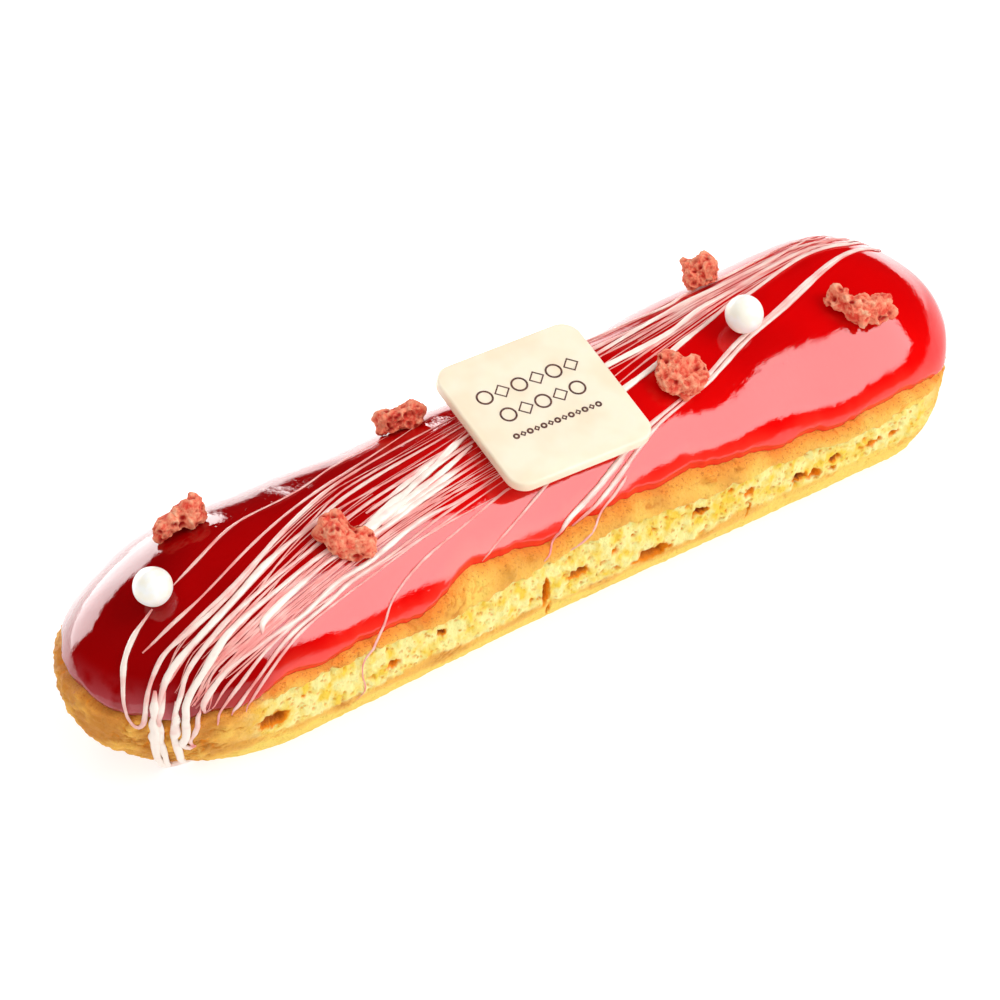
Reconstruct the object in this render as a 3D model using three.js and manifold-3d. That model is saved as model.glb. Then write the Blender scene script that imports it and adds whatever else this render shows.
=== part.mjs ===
// An eclair: a long choux bun under a shiny red glaze, drizzled with pale icing, with a thin square
// chocolate plaque, two sugar pearls and six pieces of freeze-dried fruit on top.
// Millimetres, +Z up. +X runs along the bun, -Y is the front, and the origin is the middle of the foot.
import * as THREE from 'three';
import { mergeVertices } from 'three/addons/utils/BufferGeometryUtils.js';
import Module from 'manifold-3d';

const wasm = await Module();
wasm.setup();

// ---------------------------------------------------------------- driving dimensions

// the outer form, glaze included
const LEFT_TIP = -75.7;
const RIGHT_TIP = 75.6;
const WIDTH = 37.2;
const HEIGHT = 28.8;
const BELLY = 12.5;             // height of the widest line
const LEFT_NOSE = 27.7;         // length of the tapering left end
const RIGHT_NOSE = 17.6;         // length of the blunter right end
const ROUNDNESS = 1.8;          // power of the arch above the belly: 2 would be an ellipse
const FOOT = 0.7;               // share of the plan that rests on the board, along the sides
const LEFT_FOOT = 0.66;         // and at the two ends
const RIGHT_FOOT = 0.6;
const LEFT_SWELL = 0.25;        // how far the lower half stands out round the left end
const RIGHT_TUCK = 2.6;         // how far it draws in round the right end
const NOSE_FADE = [0.9, 1.2];    // the levels between which that fades out
const PINCH = 0.063;            // share by which the waist is slimmer
const PINCH_AT = -5;
const PINCH_REACH = 35;
const UNEVEN = 0.22;            // height of the hand-piped unevenness
const UNEVEN_WAVES = [          // its waves: strength, turns along, across and up, and phase
  { strength: 1, along: 0.13, across: 0.11, up: 0, phase: 0.7 },
  { strength: 0.6, along: 0.29, across: 0, up: -0.17, phase: 2.1 },
  { strength: 0.5, along: 0.07, across: 0.31, up: 0.23, phase: 0 },
];

// the glaze, and the gap that keeps it a piece of its own
const GLAZE = 1.3;
const GAP = 0.35;
const LIP = 0.02;               // how far up the profile the glaze stops short of the crust's ledge
const LEDGE = 0.2;              // how far the crust's ledge lies inside the outer form
const EDGE_LEFT = 12.4;         // height of the glaze's lower edge on the front, left, middle and right
const EDGE_MIDDLE = 16.9;
const EDGE_RIGHT = 12.9;
const EDGE_RISE = [-62, -12];   // where along the front it climbs to the middle height
const EDGE_FALL = [24, 70];     // and where it comes down again
const EDGE_BACK = 14.6;
const EDGE_BACK_WAVE = 1.2;
const EDGE_LEFT_TIP = 14;
const EDGE_RIGHT_TIP = 13;
const EDGE_TURN = [0.05, 0.45]; // how far round a nose the tip's height gives way to the side's
const EDGE_WAVE = 0.3;

// the pale split that opened along the crust while it baked
const SPLIT_TOP = 9.6;
const SPLIT_DIP = 2.1;          // how much lower its upper edge runs beside the waist
const SPLIT_DIP_REACH = 16;
const SPLIT_WAVE = 0.35;
const SPLIT_BOTTOM = 4.6;
const SPLIT_DEPTH = 0.9;
const SPLIT_FROM = -60;
const SPLIT_TO = 68;
const SPLIT_FADE = 8;           // length over which it closes at each end
const SPLIT_TURN = [0.3, 0.8];  // how far round a nose it opens
const SPLIT_RIM = 0.45;         // half the height of its sloping rims
const CRUST_ROLL = 0.5;         // how far the crust rolls out above the split
const TORN = 0.3;               // roughness of the torn crumb

// the mesh
const NOSE_STEPS = 12;          // steps round each half nose
const BODY_STEPS = 21;          // steps along the straight stretch
const HIDDEN_ROWS = 6;          // rows of the bun under the glaze
const GLAZE_ROWS = 8;           // rows of the glaze's outer face
const CLEARANCE_ROWS = 14;
const CLEARANCE_FROM = 0.6;     // the level where the form that clears the toppings starts

// the drizzle
const STRAND_STEP = 6;
const STRAND_RISE = 0.6;        // how high a strand stands on the glaze
const STRAND_SUNK = 0.5;        // how deep its keel sits in the glaze
const STRAND_HANG = 0.9;        // how far out it hangs below the glaze's edge, clear of the crust
const STRAND_TIP = 0.6;         // how much narrower it ends
const STRAND_PLAY = 0.25;       // how far the strands of a fan stray from their even spacing

// the toppings
const PLAQUE = { side: 23.8, thick: 1.8, corner: 2.9, bevel: 0.25, x: 3, y: -3.7, yaw: -3.9, tilt: 14.3 };
const PEARL_RADIUS = 2.8;
const PEARLS = [{ x: -62.4, lean: 13 }, { x: 37.7, lean: 17 }];

// Each piece of fruit: its place, the way it heads, and its lobes as [along, across, up, long, wide, high].
// Lean is the angle from the ridge, positive to the front. Across is positive down the front.
const FRUIT = [
  {
    x: -52.6, lean: -18, heading: -15,
    lobes: [[-2.2, 0, 1.5, 4.8, 4.2, 3.2], [1.2, 0, 1.8, 5.2, 3.8, 3.6], [3, -0.2, 2.9, 2.4, 2.8, 3]],
  },
  {
    x: -35.4, lean: 33.7, heading: -58,
    lobes: [[-1.6, 0.3, 1.7, 6, 5.4, 4], [1.8, -0.3, 1.5, 5.6, 4.8, 3.6]],
  },
  { x: -13.1, lean: -32, heading: -18, lobes: [[-1.2, 0, 1.6, 5, 4.4, 4], [1.4, 0.2, 1.7, 4.6, 4, 4.2]] },
  { x: 40.4, lean: -27, heading: -30, lobes: [[-0.7, 0, 1.9, 4.6, 4.8, 4.8], [1, -0.3, 2.4, 4, 4.2, 5]] },
  {
    x: 24.3, lean: 27.5, heading: -50,
    lobes: [[-1.5, 0.2, 1.6, 5, 6.2, 4.4], [1.7, -0.4, 1.5, 4.8, 6.4, 4], [0.6, 2.2, 2.1, 4, 3, 3.4]],
  },
  {
    x: 54.4, lean: 34, heading: -62,
    lobes: [[-2.2, 0.4, 1.5, 5, 3.6, 3.6], [1.2, -0.2, 1.5, 4.6, 4, 3.6], [3.6, -1.8, 1.6, 4.2, 5, 3.4]],
  },
];
const FRUIT_SQUARE = 4;         // power of a lobe's outline: 2 would be an ellipsoid
const FRUIT_CRAG = 0.06;        // share of its size by which each wave makes a lobe craggy
const FRUIT_WAVES = [7, 8, 9];  // turns of those waves along, across and up

// The drizzle's guides, as [x, lean] points. A fan is a set of strands spread between two guides.
const FANS = [
  {
    count: 6, wide: 1.3, seed: 11,
    first: [[-69, 105], [-69.5, 80], [-67, 54], [-57, 36], [-40, 11], [-29, -2], [-9, -20]],
    last: [[-64, 98], [-64, 84], [-60, 70], [-52, 60], [-40, 51], [-24, 41], [-9, 35]],
  },
  {
    count: 4, wide: 1.4, seed: 23,
    first: [[17, -34], [30, -27], [42, -26], [56, -25], [66, -40]],
    last: [[16, 18], [28, 9], [39, 1], [54, -9], [67, -22]],
  },
  {
    count: 2, wide: 0.9, seed: 31,
    first: [[-5, 84], [4, 62], [14, 46], [27, 33], [43, 17], [56, 6], [68, -10]],
    last: [[-2, 85], [6, 66], [16, 50], [29, 38], [45, 20], [58, 9], [69, -4]],
  },
  {
    count: 2, wide: 0.9, seed: 43,
    first: [[-60, 90], [-56, 77], [-46, 62], [-35, 52], [-20, 43], [-9, 38]],
    last: [[-58, 88], [-54, 75], [-43, 61], [-31, 52], [-18, 45], [-9, 41]],
  },
];
const SINGLES = [
  { wide: 1.1, path: [[-60, 13], [-46, -2], [-36, -9], [-27, -19], [-16, -31]] },
  { wide: 1.1, path: [[-68, 41], [-58, 28], [-39, 5], [-26, -8], [-11, -26]] },
  {
    wide: 1.3,
    path: [[-63.7, 20], [-69, 32], [-71.6, 56], [-72, 84], [-71.2, 96], [-70.2, 82], [-68.6, 61]],
  },
  { wide: 1.6, path: [[-69, 104], [-68.8, 116], [-67.4, 124], [-65.8, 120], [-65.6, 107], [-66.2, 96]] },
];

// ---------------------------------------------------------------- helpers

const QUARTER = Math.PI / 2;
const radians = THREE.MathUtils.degToRad;
const smooth = THREE.MathUtils.smoothstep;
const lerp = THREE.MathUtils.lerp;

// A repeatable stream of numbers between -1 and 1.
function jitter(seed) {
  let state = seed;
  return () => {
    state = (Math.imul(state, 1664525) + 1013904223) >>> 0;
    return state / 2 ** 31 - 1;
  };
}

// A closed geometry from rows of points, each row closed on itself. Rows that fall on one line or point
// are drawn together, and the triangles that this leaves without area are dropped.
function closedGeometry(rows) {
  const seen = new Map();
  const places = [];
  const number = (p) => {
    const key = [p.x, p.y, p.z].map((value) => Math.round(value * 1e4)).join();
    if (!seen.has(key)) {
      seen.set(key, places.length / 3);
      places.push(p.x, p.y, p.z);
    }
    return seen.get(key);
  };
  const grid = rows.map((row) => row.map(number));
  const faces = [];
  const face = (a, b, c) => {
    if (a !== b && b !== c && c !== a) faces.push(a, b, c);
  };
  for (let r = 0; r + 1 < grid.length; r += 1) {
    const low = grid[r];
    const high = grid[r + 1];
    for (let i = 0; i < low.length; i += 1) {
      const j = (i + 1) % low.length;
      face(low[i], low[j], high[j]);
      face(low[i], high[j], high[i]);
    }
  }
  const geometry = new THREE.BufferGeometry();
  geometry.setAttribute('position', new THREE.Float32BufferAttribute(places, 3));
  geometry.setIndex(faces);
  return geometry;
}

function toManifold(geometry) {
  const bare = geometry.clone();
  bare.deleteAttribute('normal');
  bare.deleteAttribute('uv');
  const merged = mergeVertices(bare, 1e-4);
  return new wasm.Manifold(new wasm.Mesh({
    numProp: 3,
    vertProperties: new Float32Array(merged.attributes.position.array),
    triVerts: new Uint32Array(merged.index.array),
  }));
}

function toGeometry(manifold) {
  const mesh = manifold.getMesh();
  const geometry = new THREE.BufferGeometry();
  geometry.setAttribute('position', new THREE.BufferAttribute(new Float32Array(mesh.vertProperties), 3));
  geometry.setIndex(new THREE.BufferAttribute(new Uint32Array(mesh.triVerts), 1));
  return geometry;
}

const join = (solids) => solids.reduce((whole, solid) => whole.add(solid));

// The main body of a fused solid, without loose scraps or the bubbles that crossing strands seal.
const mainBody = (solid) => solid.decompose().reduce((a, b) => (a.volume() > b.volume() ? a : b));

// ---------------------------------------------------------------- the outer form

const LEFT_END = LEFT_TIP + LEFT_NOSE;         // the straight stretch runs between these two
const RIGHT_END = RIGHT_TIP - RIGHT_NOSE;
const girth = (x) => 1 - PINCH * Math.exp(-(((x - PINCH_AT) / PINCH_REACH) ** 2));

// The stations round the bun: where on its spine each one starts, how far past the spine it reaches,
// and which side it is on, from 1 at the front to -1 at the back.
function stationsRound() {
  const list = [];
  for (let i = 0; i < BODY_STEPS; i += 1) {
    list.push({ spine: lerp(LEFT_END, RIGHT_END, i / BODY_STEPS), over: 0, side: 1 });
  }
  for (let i = 0; i < 2 * NOSE_STEPS; i += 1) {
    const turn = QUARTER - (i / NOSE_STEPS) * QUARTER;
    list.push({ spine: RIGHT_END, over: RIGHT_NOSE * Math.cos(turn), side: Math.sin(turn) });
  }
  for (let i = 0; i < BODY_STEPS; i += 1) {
    list.push({ spine: lerp(RIGHT_END, LEFT_END, i / BODY_STEPS), over: 0, side: -1 });
  }
  for (let i = 0; i < 2 * NOSE_STEPS; i += 1) {
    const turn = -QUARTER + (i / NOSE_STEPS) * QUARTER;
    list.push({ spine: LEFT_END, over: -LEFT_NOSE * Math.cos(turn), side: Math.sin(turn) });
  }
  return list;
}

// The share of the plan that a station's foot rests on.
const footShare = ({ over, side }) => lerp(FOOT, over < 0 ? LEFT_FOOT : RIGHT_FOOT, 1 - side ** 2);

// The profile from the middle of the foot (-1) past its rim (0) and the belly (1) to the ridge (2),
// as a share of the plan and a height.
function profile(level, foot) {
  if (level < 0) return [foot * (1 + level), 0];
  if (level < 1) {
    const turn = level * QUARTER;
    return [foot + (1 - foot) * Math.sin(turn), BELLY * (1 - Math.cos(turn))];
  }
  const turn = (level - 1) * QUARTER;
  const power = 2 / ROUNDNESS;
  return [Math.cos(turn) ** power, BELLY + (HEIGHT - BELLY) * Math.sin(turn) ** power];
}

// The level on the profile at a height.
function levelAt(height) {
  if (height <= BELLY) return Math.acos(1 - height / BELLY) / QUARTER;
  return 1 + Math.asin(((height - BELLY) / (HEIGHT - BELLY)) ** (ROUNDNESS / 2)) / QUARTER;
}

// The slow swells that a piping bag leaves, faded out at the foot.
function unevenness(p) {
  const swell = UNEVEN_WAVES.reduce((sum, { strength, along, across, up, phase }) => (
    sum + strength * Math.sin(p.x * along + p.y * across + p.z * up + phase)
  ), 0);
  return UNEVEN * swell * smooth(p.z, 0, BELLY / 2);
}

// How far a station's lower half stands out or draws in round the two ends.
function noseSwell({ over, side }, level) {
  const most = over < 0 ? LEFT_SWELL : -RIGHT_TUCK;
  return most * (1 - side ** 2) * (1 - smooth(level, ...NOSE_FADE));
}

// A point of a station at a level, moved outwards by a swell.
function formPoint(station, level, swell) {
  const [share, rise] = profile(level, footShare(station));
  const x = station.spine + station.over * share;
  const p = new THREE.Vector3(x, -station.side * (WIDTH / 2) * girth(x) * share, rise * girth(x));
  if (level <= 0) return p;
  const out = p.clone().sub(new THREE.Vector3(station.spine, 0, BELLY)).normalize();
  return p.addScaledVector(out, swell + noseSwell(station, level) + unevenness(p));
}

function isInside(p) {
  const g = girth(p.x);
  const past = Math.max((LEFT_END - p.x) / LEFT_NOSE, (p.x - RIGHT_END) / RIGHT_NOSE, 0);
  const share = Math.hypot(past, p.y / ((WIDTH / 2) * g));
  const rise = p.z / g;
  if (rise < 0) return false;
  if (rise < BELLY) return share < FOOT + (1 - FOOT) * Math.sqrt(1 - (1 - rise / BELLY) ** 2);
  return share ** ROUNDNESS + ((rise - BELLY) / (HEIGHT - BELLY)) ** ROUNDNESS < 1;
}

// The point of the outer form at a place along the bun and a lean from the ridge, moved out by a swell.
function surfacePoint(x, lean, swell = 0) {
  const way = new THREE.Vector3(0, -Math.sin(radians(lean)), Math.cos(radians(lean)));
  const middle = new THREE.Vector3(x, 0, BELLY);
  let near = 0;
  let far = WIDTH;
  for (let i = 0; i < 30; i += 1) {
    const reach = (near + far) / 2;
    if (isInside(middle.clone().addScaledVector(way, reach))) near = reach;
    else far = reach;
  }
  const p = middle.clone().addScaledVector(way, near);
  return p.addScaledVector(way, swell + unevenness(p));
}

function surfaceNormal(x, lean) {
  const step = 0.5;
  const along = surfacePoint(x + step, lean).sub(surfacePoint(x - step, lean));
  const across = surfacePoint(x, lean + step * 4).sub(surfacePoint(x, lean - step * 4));
  return across.cross(along).normalize();
}

// ---------------------------------------------------------------- glaze edge and split

function edgeHeight(x, side) {
  const front = EDGE_LEFT + (EDGE_MIDDLE - EDGE_LEFT) * smooth(x, ...EDGE_RISE)
    - (EDGE_MIDDLE - EDGE_RIGHT) * smooth(x, ...EDGE_FALL);
  const long = side > 0 ? front : EDGE_BACK + EDGE_BACK_WAVE * Math.sin(x * 0.06 + 1);
  const tip = x < 0 ? EDGE_LEFT_TIP : EDGE_RIGHT_TIP;
  const wave = EDGE_WAVE * (Math.sin(x * 0.23 + 1) + Math.sin(x * 0.61 + 2));
  return lerp(tip, long, smooth(Math.abs(side), ...EDGE_TURN)) + wave;
}

const edgeLevel = (station) => {
  const x = station.spine + station.over;
  return levelAt(edgeHeight(x, station.side) / girth(x));
};

function splitTop(x) {
  const dip = SPLIT_DIP * Math.exp(-(((x - PINCH_AT) / SPLIT_DIP_REACH) ** 2));
  return SPLIT_TOP - dip + SPLIT_WAVE * Math.sin(x * 0.4);
}
const splitBottom = (x) => SPLIT_BOTTOM + SPLIT_WAVE * Math.sin(x * 0.19 + 1);

// How wide open the split is, from 0 to 1.
function splitOpen(x, side) {
  const left = smooth(x, SPLIT_FROM, SPLIT_FROM + SPLIT_FADE);
  const right = 1 - smooth(x, SPLIT_TO - SPLIT_FADE, SPLIT_TO);
  return left * right * smooth(Math.abs(side), ...SPLIT_TURN);
}

// ---------------------------------------------------------------- the bun

// The heights of a station on the crust below the glaze, with how far each stands out.
function crustRows(station, rough) {
  const x = station.spine + station.over;
  const open = splitOpen(x, station.side);
  const top = splitTop(x) / girth(x);
  const bottom = splitBottom(x) / girth(x);
  const edge = edgeHeight(x, station.side) / girth(x);
  const roll = CRUST_ROLL * open;
  const torn = () => open * (TORN * rough() - SPLIT_DEPTH);
  return [
    [lerp(top, edge, 0.4), roll],
    [top + SPLIT_RIM, roll / 2],
    [top - SPLIT_RIM, torn()],
    [(top + bottom) / 2, torn()],
    [bottom + SPLIT_RIM, torn()],
    [bottom - SPLIT_RIM, 0],
    [bottom / 2, 0],
  ].map(([height, swell]) => [levelAt(height), swell]);
}

// The bun under the glaze, its ledge at the glaze's edge, then the crust, the split and the foot.
function chouxGeometry(stations) {
  const rough = jitter(7);
  const columns = stations.map((station) => {
    const edge = edgeLevel(station);
    const rows = [];
    for (let i = 0; i <= HIDDEN_ROWS; i += 1) rows.push([lerp(2, edge, i / HIDDEN_ROWS), -GLAZE - GAP]);
    rows.push([edge - LIP, -LEDGE], ...crustRows(station, rough), [0, 0], [-1, 0]);
    return rows.map(([level, swell]) => formPoint(station, level, swell));
  });
  return closedGeometry(columns[0].map((_, row) => columns.map((column) => column[row])).reverse());
}

// ---------------------------------------------------------------- the glaze and its drizzle

// A skin over the arch, with a rounded lip at its lower edge.
function glazeGeometry(stations) {
  const columns = stations.map((station) => {
    const edge = edgeLevel(station) + LIP;
    const rows = [];
    for (let i = 0; i <= GLAZE_ROWS; i += 1) rows.push([lerp(2, edge + LIP, i / GLAZE_ROWS), 0]);
    rows.push([edge, -GLAZE / 2]);
    for (let i = HIDDEN_ROWS; i >= 0; i -= 1) rows.push([lerp(2, edge, i / HIDDEN_ROWS), -GLAZE]);
    return rows.map(([level, swell]) => formPoint(station, level, swell));
  });
  return closedGeometry(columns[0].map((_, row) => columns.map((column) => column[row])).reverse());
}

// The middle of a ring, once for each of its points.
function cap(ring) {
  const middle = ring.reduce((sum, p) => sum.add(p), new THREE.Vector3()).divideScalar(ring.length);
  return ring.map(() => middle);
}

// A strand lies on the glaze with its keel sunk in it. Below the glaze's edge it hangs clear of the crust.
function strandSolid({ path, wide }) {
  const guide = new THREE.CatmullRomCurve3(path.map(([x, lean]) => surfacePoint(x, lean)));
  const steps = Math.max(4, Math.round(guide.getLength() / STRAND_STEP));
  const plan = new THREE.CatmullRomCurve3(path.map(([x, lean]) => new THREE.Vector3(x, lean, 0)));
  const stops = Array.from({ length: steps + 1 }, (_, i) => plan.getPoint(i / steps));
  const places = stops.map((stop) => {
    const p = surfacePoint(stop.x, stop.y);
    const hang = smooth(edgeHeight(stop.x, 1) + 1 - p.z, 0, 1.5);
    return surfacePoint(stop.x, stop.y, STRAND_HANG * hang);
  });
  const rings = places.map((p, i) => {
    const ahead = places[Math.min(i + 1, steps)].clone().sub(places[Math.max(i - 1, 0)]).normalize();
    const up = surfaceNormal(stops[i].x, stops[i].y);
    const aside = up.clone().cross(ahead).normalize();
    const taper = i === 0 || i === steps ? STRAND_TIP : 1;
    return [
      p.clone().addScaledVector(aside, (taper * wide) / 2),
      p.clone().addScaledVector(up, taper * STRAND_RISE),
      p.clone().addScaledVector(aside, (-taper * wide) / 2),
      p.clone().addScaledVector(up, -STRAND_SUNK),
    ];
  });
  return toManifold(closedGeometry([cap(rings[0]), ...rings, cap(rings[steps])]));
}

// The strands of a fan, spread between its two guides with a little play.
function fanStrands({ count, wide, seed, first, last }) {
  const play = jitter(seed);
  return Array.from({ length: count }, (_, i) => {
    const share = i / (count - 1);
    const path = first.map(([x, lean], k) => {
      const mixed = share + (play() * STRAND_PLAY) / count;
      return [lerp(x, last[k][0], mixed), lerp(lean, last[k][1], mixed)];
    });
    return { path, wide: wide * (1 + STRAND_PLAY * play()) };
  });
}

// ---------------------------------------------------------------- the toppings

// A matrix that stands a topping on the glaze: its x heads along the bun, its z is the glaze's normal.
function seat(x, lean, lift) {
  const up = surfaceNormal(x, lean);
  const back = up.clone().cross(new THREE.Vector3(1, 0, 0)).normalize();
  const along = back.clone().cross(up);
  const place = surfacePoint(x, lean).addScaledVector(up, lift);
  return new THREE.Matrix4().makeBasis(along, back, up).setPosition(place);
}

function plaqueGeometry(grow) {
  const { side, thick, corner, bevel, x, y, yaw, tilt } = PLAQUE;
  const half = side / 2 - bevel;
  const outline = new THREE.Shape();
  for (let i = 0; i < 4; i += 1) {
    const turn = i * QUARTER;
    const centre = new THREE.Vector2(half - corner, half - corner).rotateAround(new THREE.Vector2(), turn);
    outline.absarc(centre.x, centre.y, corner, turn, turn + QUARTER, false);
  }
  const geometry = new THREE.ExtrudeGeometry(outline, {
    depth: thick - 2 * bevel, bevelThickness: bevel + grow, bevelSize: bevel + grow, bevelSegments: 1,
    curveSegments: 3,
  });
  geometry.translate(0, 0, bevel - thick / 2);
  geometry.rotateX(radians(tilt)).rotateZ(radians(yaw));
  const rest = plaqueRest();
  return geometry.translate(rest.x, rest.y, rest.z);
}

// The plaque's centre, resting on the highest of the glaze that lies below it.
function plaqueRest() {
  const { side, thick, x, y, tilt } = PLAQUE;
  const up = new THREE.Vector3(0, -Math.sin(radians(tilt)), Math.cos(radians(tilt)));
  const centre = new THREE.Vector3(x, y, HEIGHT);
  let highest = -Infinity;
  for (let along = -side / 2; along <= side / 2; along += side / 12) {
    for (let lean = -25; lean <= 45; lean += 2) {
      highest = Math.max(highest, surfacePoint(x + along, lean).sub(centre).dot(up));
    }
  }
  return centre.addScaledVector(new THREE.Vector3(0, 0, 1), (highest + GAP + thick / 2) / up.z);
}

function pearlGeometry({ x, lean }, grow) {
  const geometry = new THREE.SphereGeometry(PEARL_RADIUS + grow, 16, 10);
  return geometry.applyMatrix4(seat(x, lean, PEARL_RADIUS + GAP));
}

// One craggy lobe: a ball pushed out towards a box, roughened by a few crossing waves.
function lobeSolid([along, across, up, long, wide, high], seed, grow) {
  const ball = new THREE.IcosahedronGeometry(1, 1);
  ball.deleteAttribute('normal');
  ball.deleteAttribute('uv');
  const geometry = mergeVertices(ball, 1e-4);
  const position = geometry.attributes.position;
  const p = new THREE.Vector3();
  for (let i = 0; i < position.count; i += 1) {
    p.fromBufferAttribute(position, i);
    const sum = p.toArray().reduce((total, value) => total + Math.abs(value) ** FRUIT_SQUARE, 0);
    const crag = p.toArray().reduce((total, value, axis) => (
      total + Math.sin(value * FRUIT_WAVES[axis] + seed * (axis + 1))
    ), 0);
    p.multiplyScalar(sum ** (-1 / FRUIT_SQUARE) * (1 + FRUIT_CRAG * crag));
    p.multiply(new THREE.Vector3(long, wide, high).multiplyScalar(0.5).addScalar(grow));
    position.setXYZ(i, p.x + along, p.y - across, p.z + up);
  }
  return toManifold(geometry);
}

function fruitSolid({ x, lean, heading, lobes }, number, grow) {
  const lumps = join(lobes.map((lobe, i) => lobeSolid(lobe, number * 1.7 + i * 2.3, grow)));
  const geometry = toGeometry(lumps);
  geometry.rotateZ(radians(heading));
  geometry.applyMatrix4(seat(x, lean, 0));
  return toManifold(geometry);
}

// ---------------------------------------------------------------- the eclair

const STATIONS = stationsRound();

// The glaze's outer form, grown by the gap: what lies on the glaze is cut back to it.
const clearance = toManifold(closedGeometry([
  STATIONS.map((station) => new THREE.Vector3(station.spine, 0, BELLY / 2)),
  ...Array.from({ length: CLEARANCE_ROWS }, (_, i) => STATIONS.map((station) => (
    formPoint(station, lerp(CLEARANCE_FROM, 2, i / (CLEARANCE_ROWS - 1)), GAP)
  ))),
]));

const toppingsGrown = join([
  toManifold(plaqueGeometry(GAP)),
  ...PEARLS.map((pearl) => toManifold(pearlGeometry(pearl, GAP))),
  ...FRUIT.map((fruit, i) => fruitSolid(fruit, i, GAP)),
]);

const strands = join([...FANS.flatMap(fanStrands), ...SINGLES].map(strandSolid)).subtract(toppingsGrown);
const glaze = mainBody(toManifold(glazeGeometry(STATIONS)).add(strands));

const MATERIALS = {
  choux: new THREE.MeshStandardMaterial({ color: 0xe6b45a, roughness: 0.8 }),
  glaze: new THREE.MeshStandardMaterial({ color: 0xb00008, roughness: 0.08 }),
  fruit: new THREE.MeshStandardMaterial({ color: 0xd85a50, roughness: 0.9 }),
  pearl: new THREE.MeshStandardMaterial({ color: 0xfff6e4, roughness: 0.35 }),
  plaque: new THREE.MeshStandardMaterial({ color: 0xfff2d6, roughness: 0.45 }),
};

const eclair = new THREE.Group();
function put(name, geometry, material) {
  const mesh = new THREE.Mesh(geometry, material);
  mesh.name = name;
  eclair.add(mesh);
}

put('choux', chouxGeometry(STATIONS), MATERIALS.choux);
put('glaze', toGeometry(glaze), MATERIALS.glaze);
put('plaque', toGeometry(toManifold(plaqueGeometry(0))), MATERIALS.plaque);
PEARLS.forEach((pearl, i) => {
  put(`pearl_${i + 1}`, toGeometry(toManifold(pearlGeometry(pearl, 0))), MATERIALS.pearl);
});
FRUIT.forEach((fruit, i) => {
  put(`fruit_${i + 1}`, toGeometry(fruitSolid(fruit, i, 0).subtract(clearance)), MATERIALS.fruit);
});

export default eclair;
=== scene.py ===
import math

import bmesh
import bpy
import numpy as np
from mathutils import Matrix, Vector, noise
from mathutils.bvhtree import BVHTree


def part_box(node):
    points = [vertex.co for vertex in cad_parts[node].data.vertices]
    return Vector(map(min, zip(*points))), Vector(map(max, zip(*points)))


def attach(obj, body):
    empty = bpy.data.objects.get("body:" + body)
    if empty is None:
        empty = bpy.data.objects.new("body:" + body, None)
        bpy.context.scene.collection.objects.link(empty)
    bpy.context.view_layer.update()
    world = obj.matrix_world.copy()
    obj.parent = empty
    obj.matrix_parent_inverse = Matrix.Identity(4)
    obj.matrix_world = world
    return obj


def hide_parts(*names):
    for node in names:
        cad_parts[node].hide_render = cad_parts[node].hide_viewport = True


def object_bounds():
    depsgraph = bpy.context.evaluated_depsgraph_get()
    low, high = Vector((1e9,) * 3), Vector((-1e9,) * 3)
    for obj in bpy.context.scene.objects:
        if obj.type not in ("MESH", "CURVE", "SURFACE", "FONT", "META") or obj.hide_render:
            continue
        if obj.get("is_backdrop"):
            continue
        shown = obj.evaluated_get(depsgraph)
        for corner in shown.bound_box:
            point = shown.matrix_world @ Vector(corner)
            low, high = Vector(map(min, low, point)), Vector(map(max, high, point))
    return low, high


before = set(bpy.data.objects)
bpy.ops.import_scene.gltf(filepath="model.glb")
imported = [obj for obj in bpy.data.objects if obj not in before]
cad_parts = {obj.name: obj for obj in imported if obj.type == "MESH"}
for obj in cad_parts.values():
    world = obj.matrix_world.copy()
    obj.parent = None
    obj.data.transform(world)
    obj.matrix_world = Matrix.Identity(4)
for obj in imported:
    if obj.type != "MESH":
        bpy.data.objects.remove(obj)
CAD_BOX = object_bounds()

# Lengths are in millimetres until a mesh is made. +X runs along the bun, -Y is its front, the board is z = 0.
# A level is a height on the skin: 2 is the ridge, 1 the belly, 0 the foot's rim and -1 the foot's middle.

# ============ the choux bun
# One length of choux pastry, piped by hand and baked until its crust is golden. As it rose it split along
# both sides, which shows the pale open crumb. It lies on its own flat baked foot.

MM = 0.001
WELD = 1e-7  # metres
QUARTER = math.pi / 2

LEFT_TIP, RIGHT_TIP = -75.7, 75.6
LEFT_NOSE, RIGHT_NOSE = 27.7, 17.6  # lengths of the tapering left end and the blunter right one
LEFT_END = LEFT_TIP + LEFT_NOSE  # the straight stretch runs between these two
RIGHT_END = RIGHT_TIP - RIGHT_NOSE
WIDTH, HEIGHT, BELLY = 37.2, 28.8, 12.5  # the belly is the height of the widest line
ROUNDNESS = 1.8  # power of the arch above the belly
FOOT, LEFT_FOOT, RIGHT_FOOT = 0.7, 0.58, 0.5  # share of the plan that rests on the board
LEFT_SWELL, RIGHT_TUCK = 0.25, 2.6  # how the lower half stands out or draws in round the ends
NOSE_RISE, NOSE_FADE = (0, 0.3), (0.9, 1.2)  # the levels where that comes in and fades out
PINCH, PINCH_AT, PINCH_REACH = 0.063, -5, 35  # the slimmer waist
RIDGE, FOOT_MIDDLE = 2, -1
UNEVEN = 0.22
UNEVEN_WAVES = (  # strength, turns along, across and up, phase
    (1, 0.13, 0.11, 0, 0.7),
    (0.6, 0.29, 0, -0.17, 2.1),
    (0.5, 0.07, 0.31, 0.23, 0),
)
GLAZE, GAP = 1.3, 0.35  # the glaze's thickness, and the room under it
LIP, LEDGE = 0.02, 0.2  # the levels that it overlaps the crust, and how far it stands out

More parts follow.
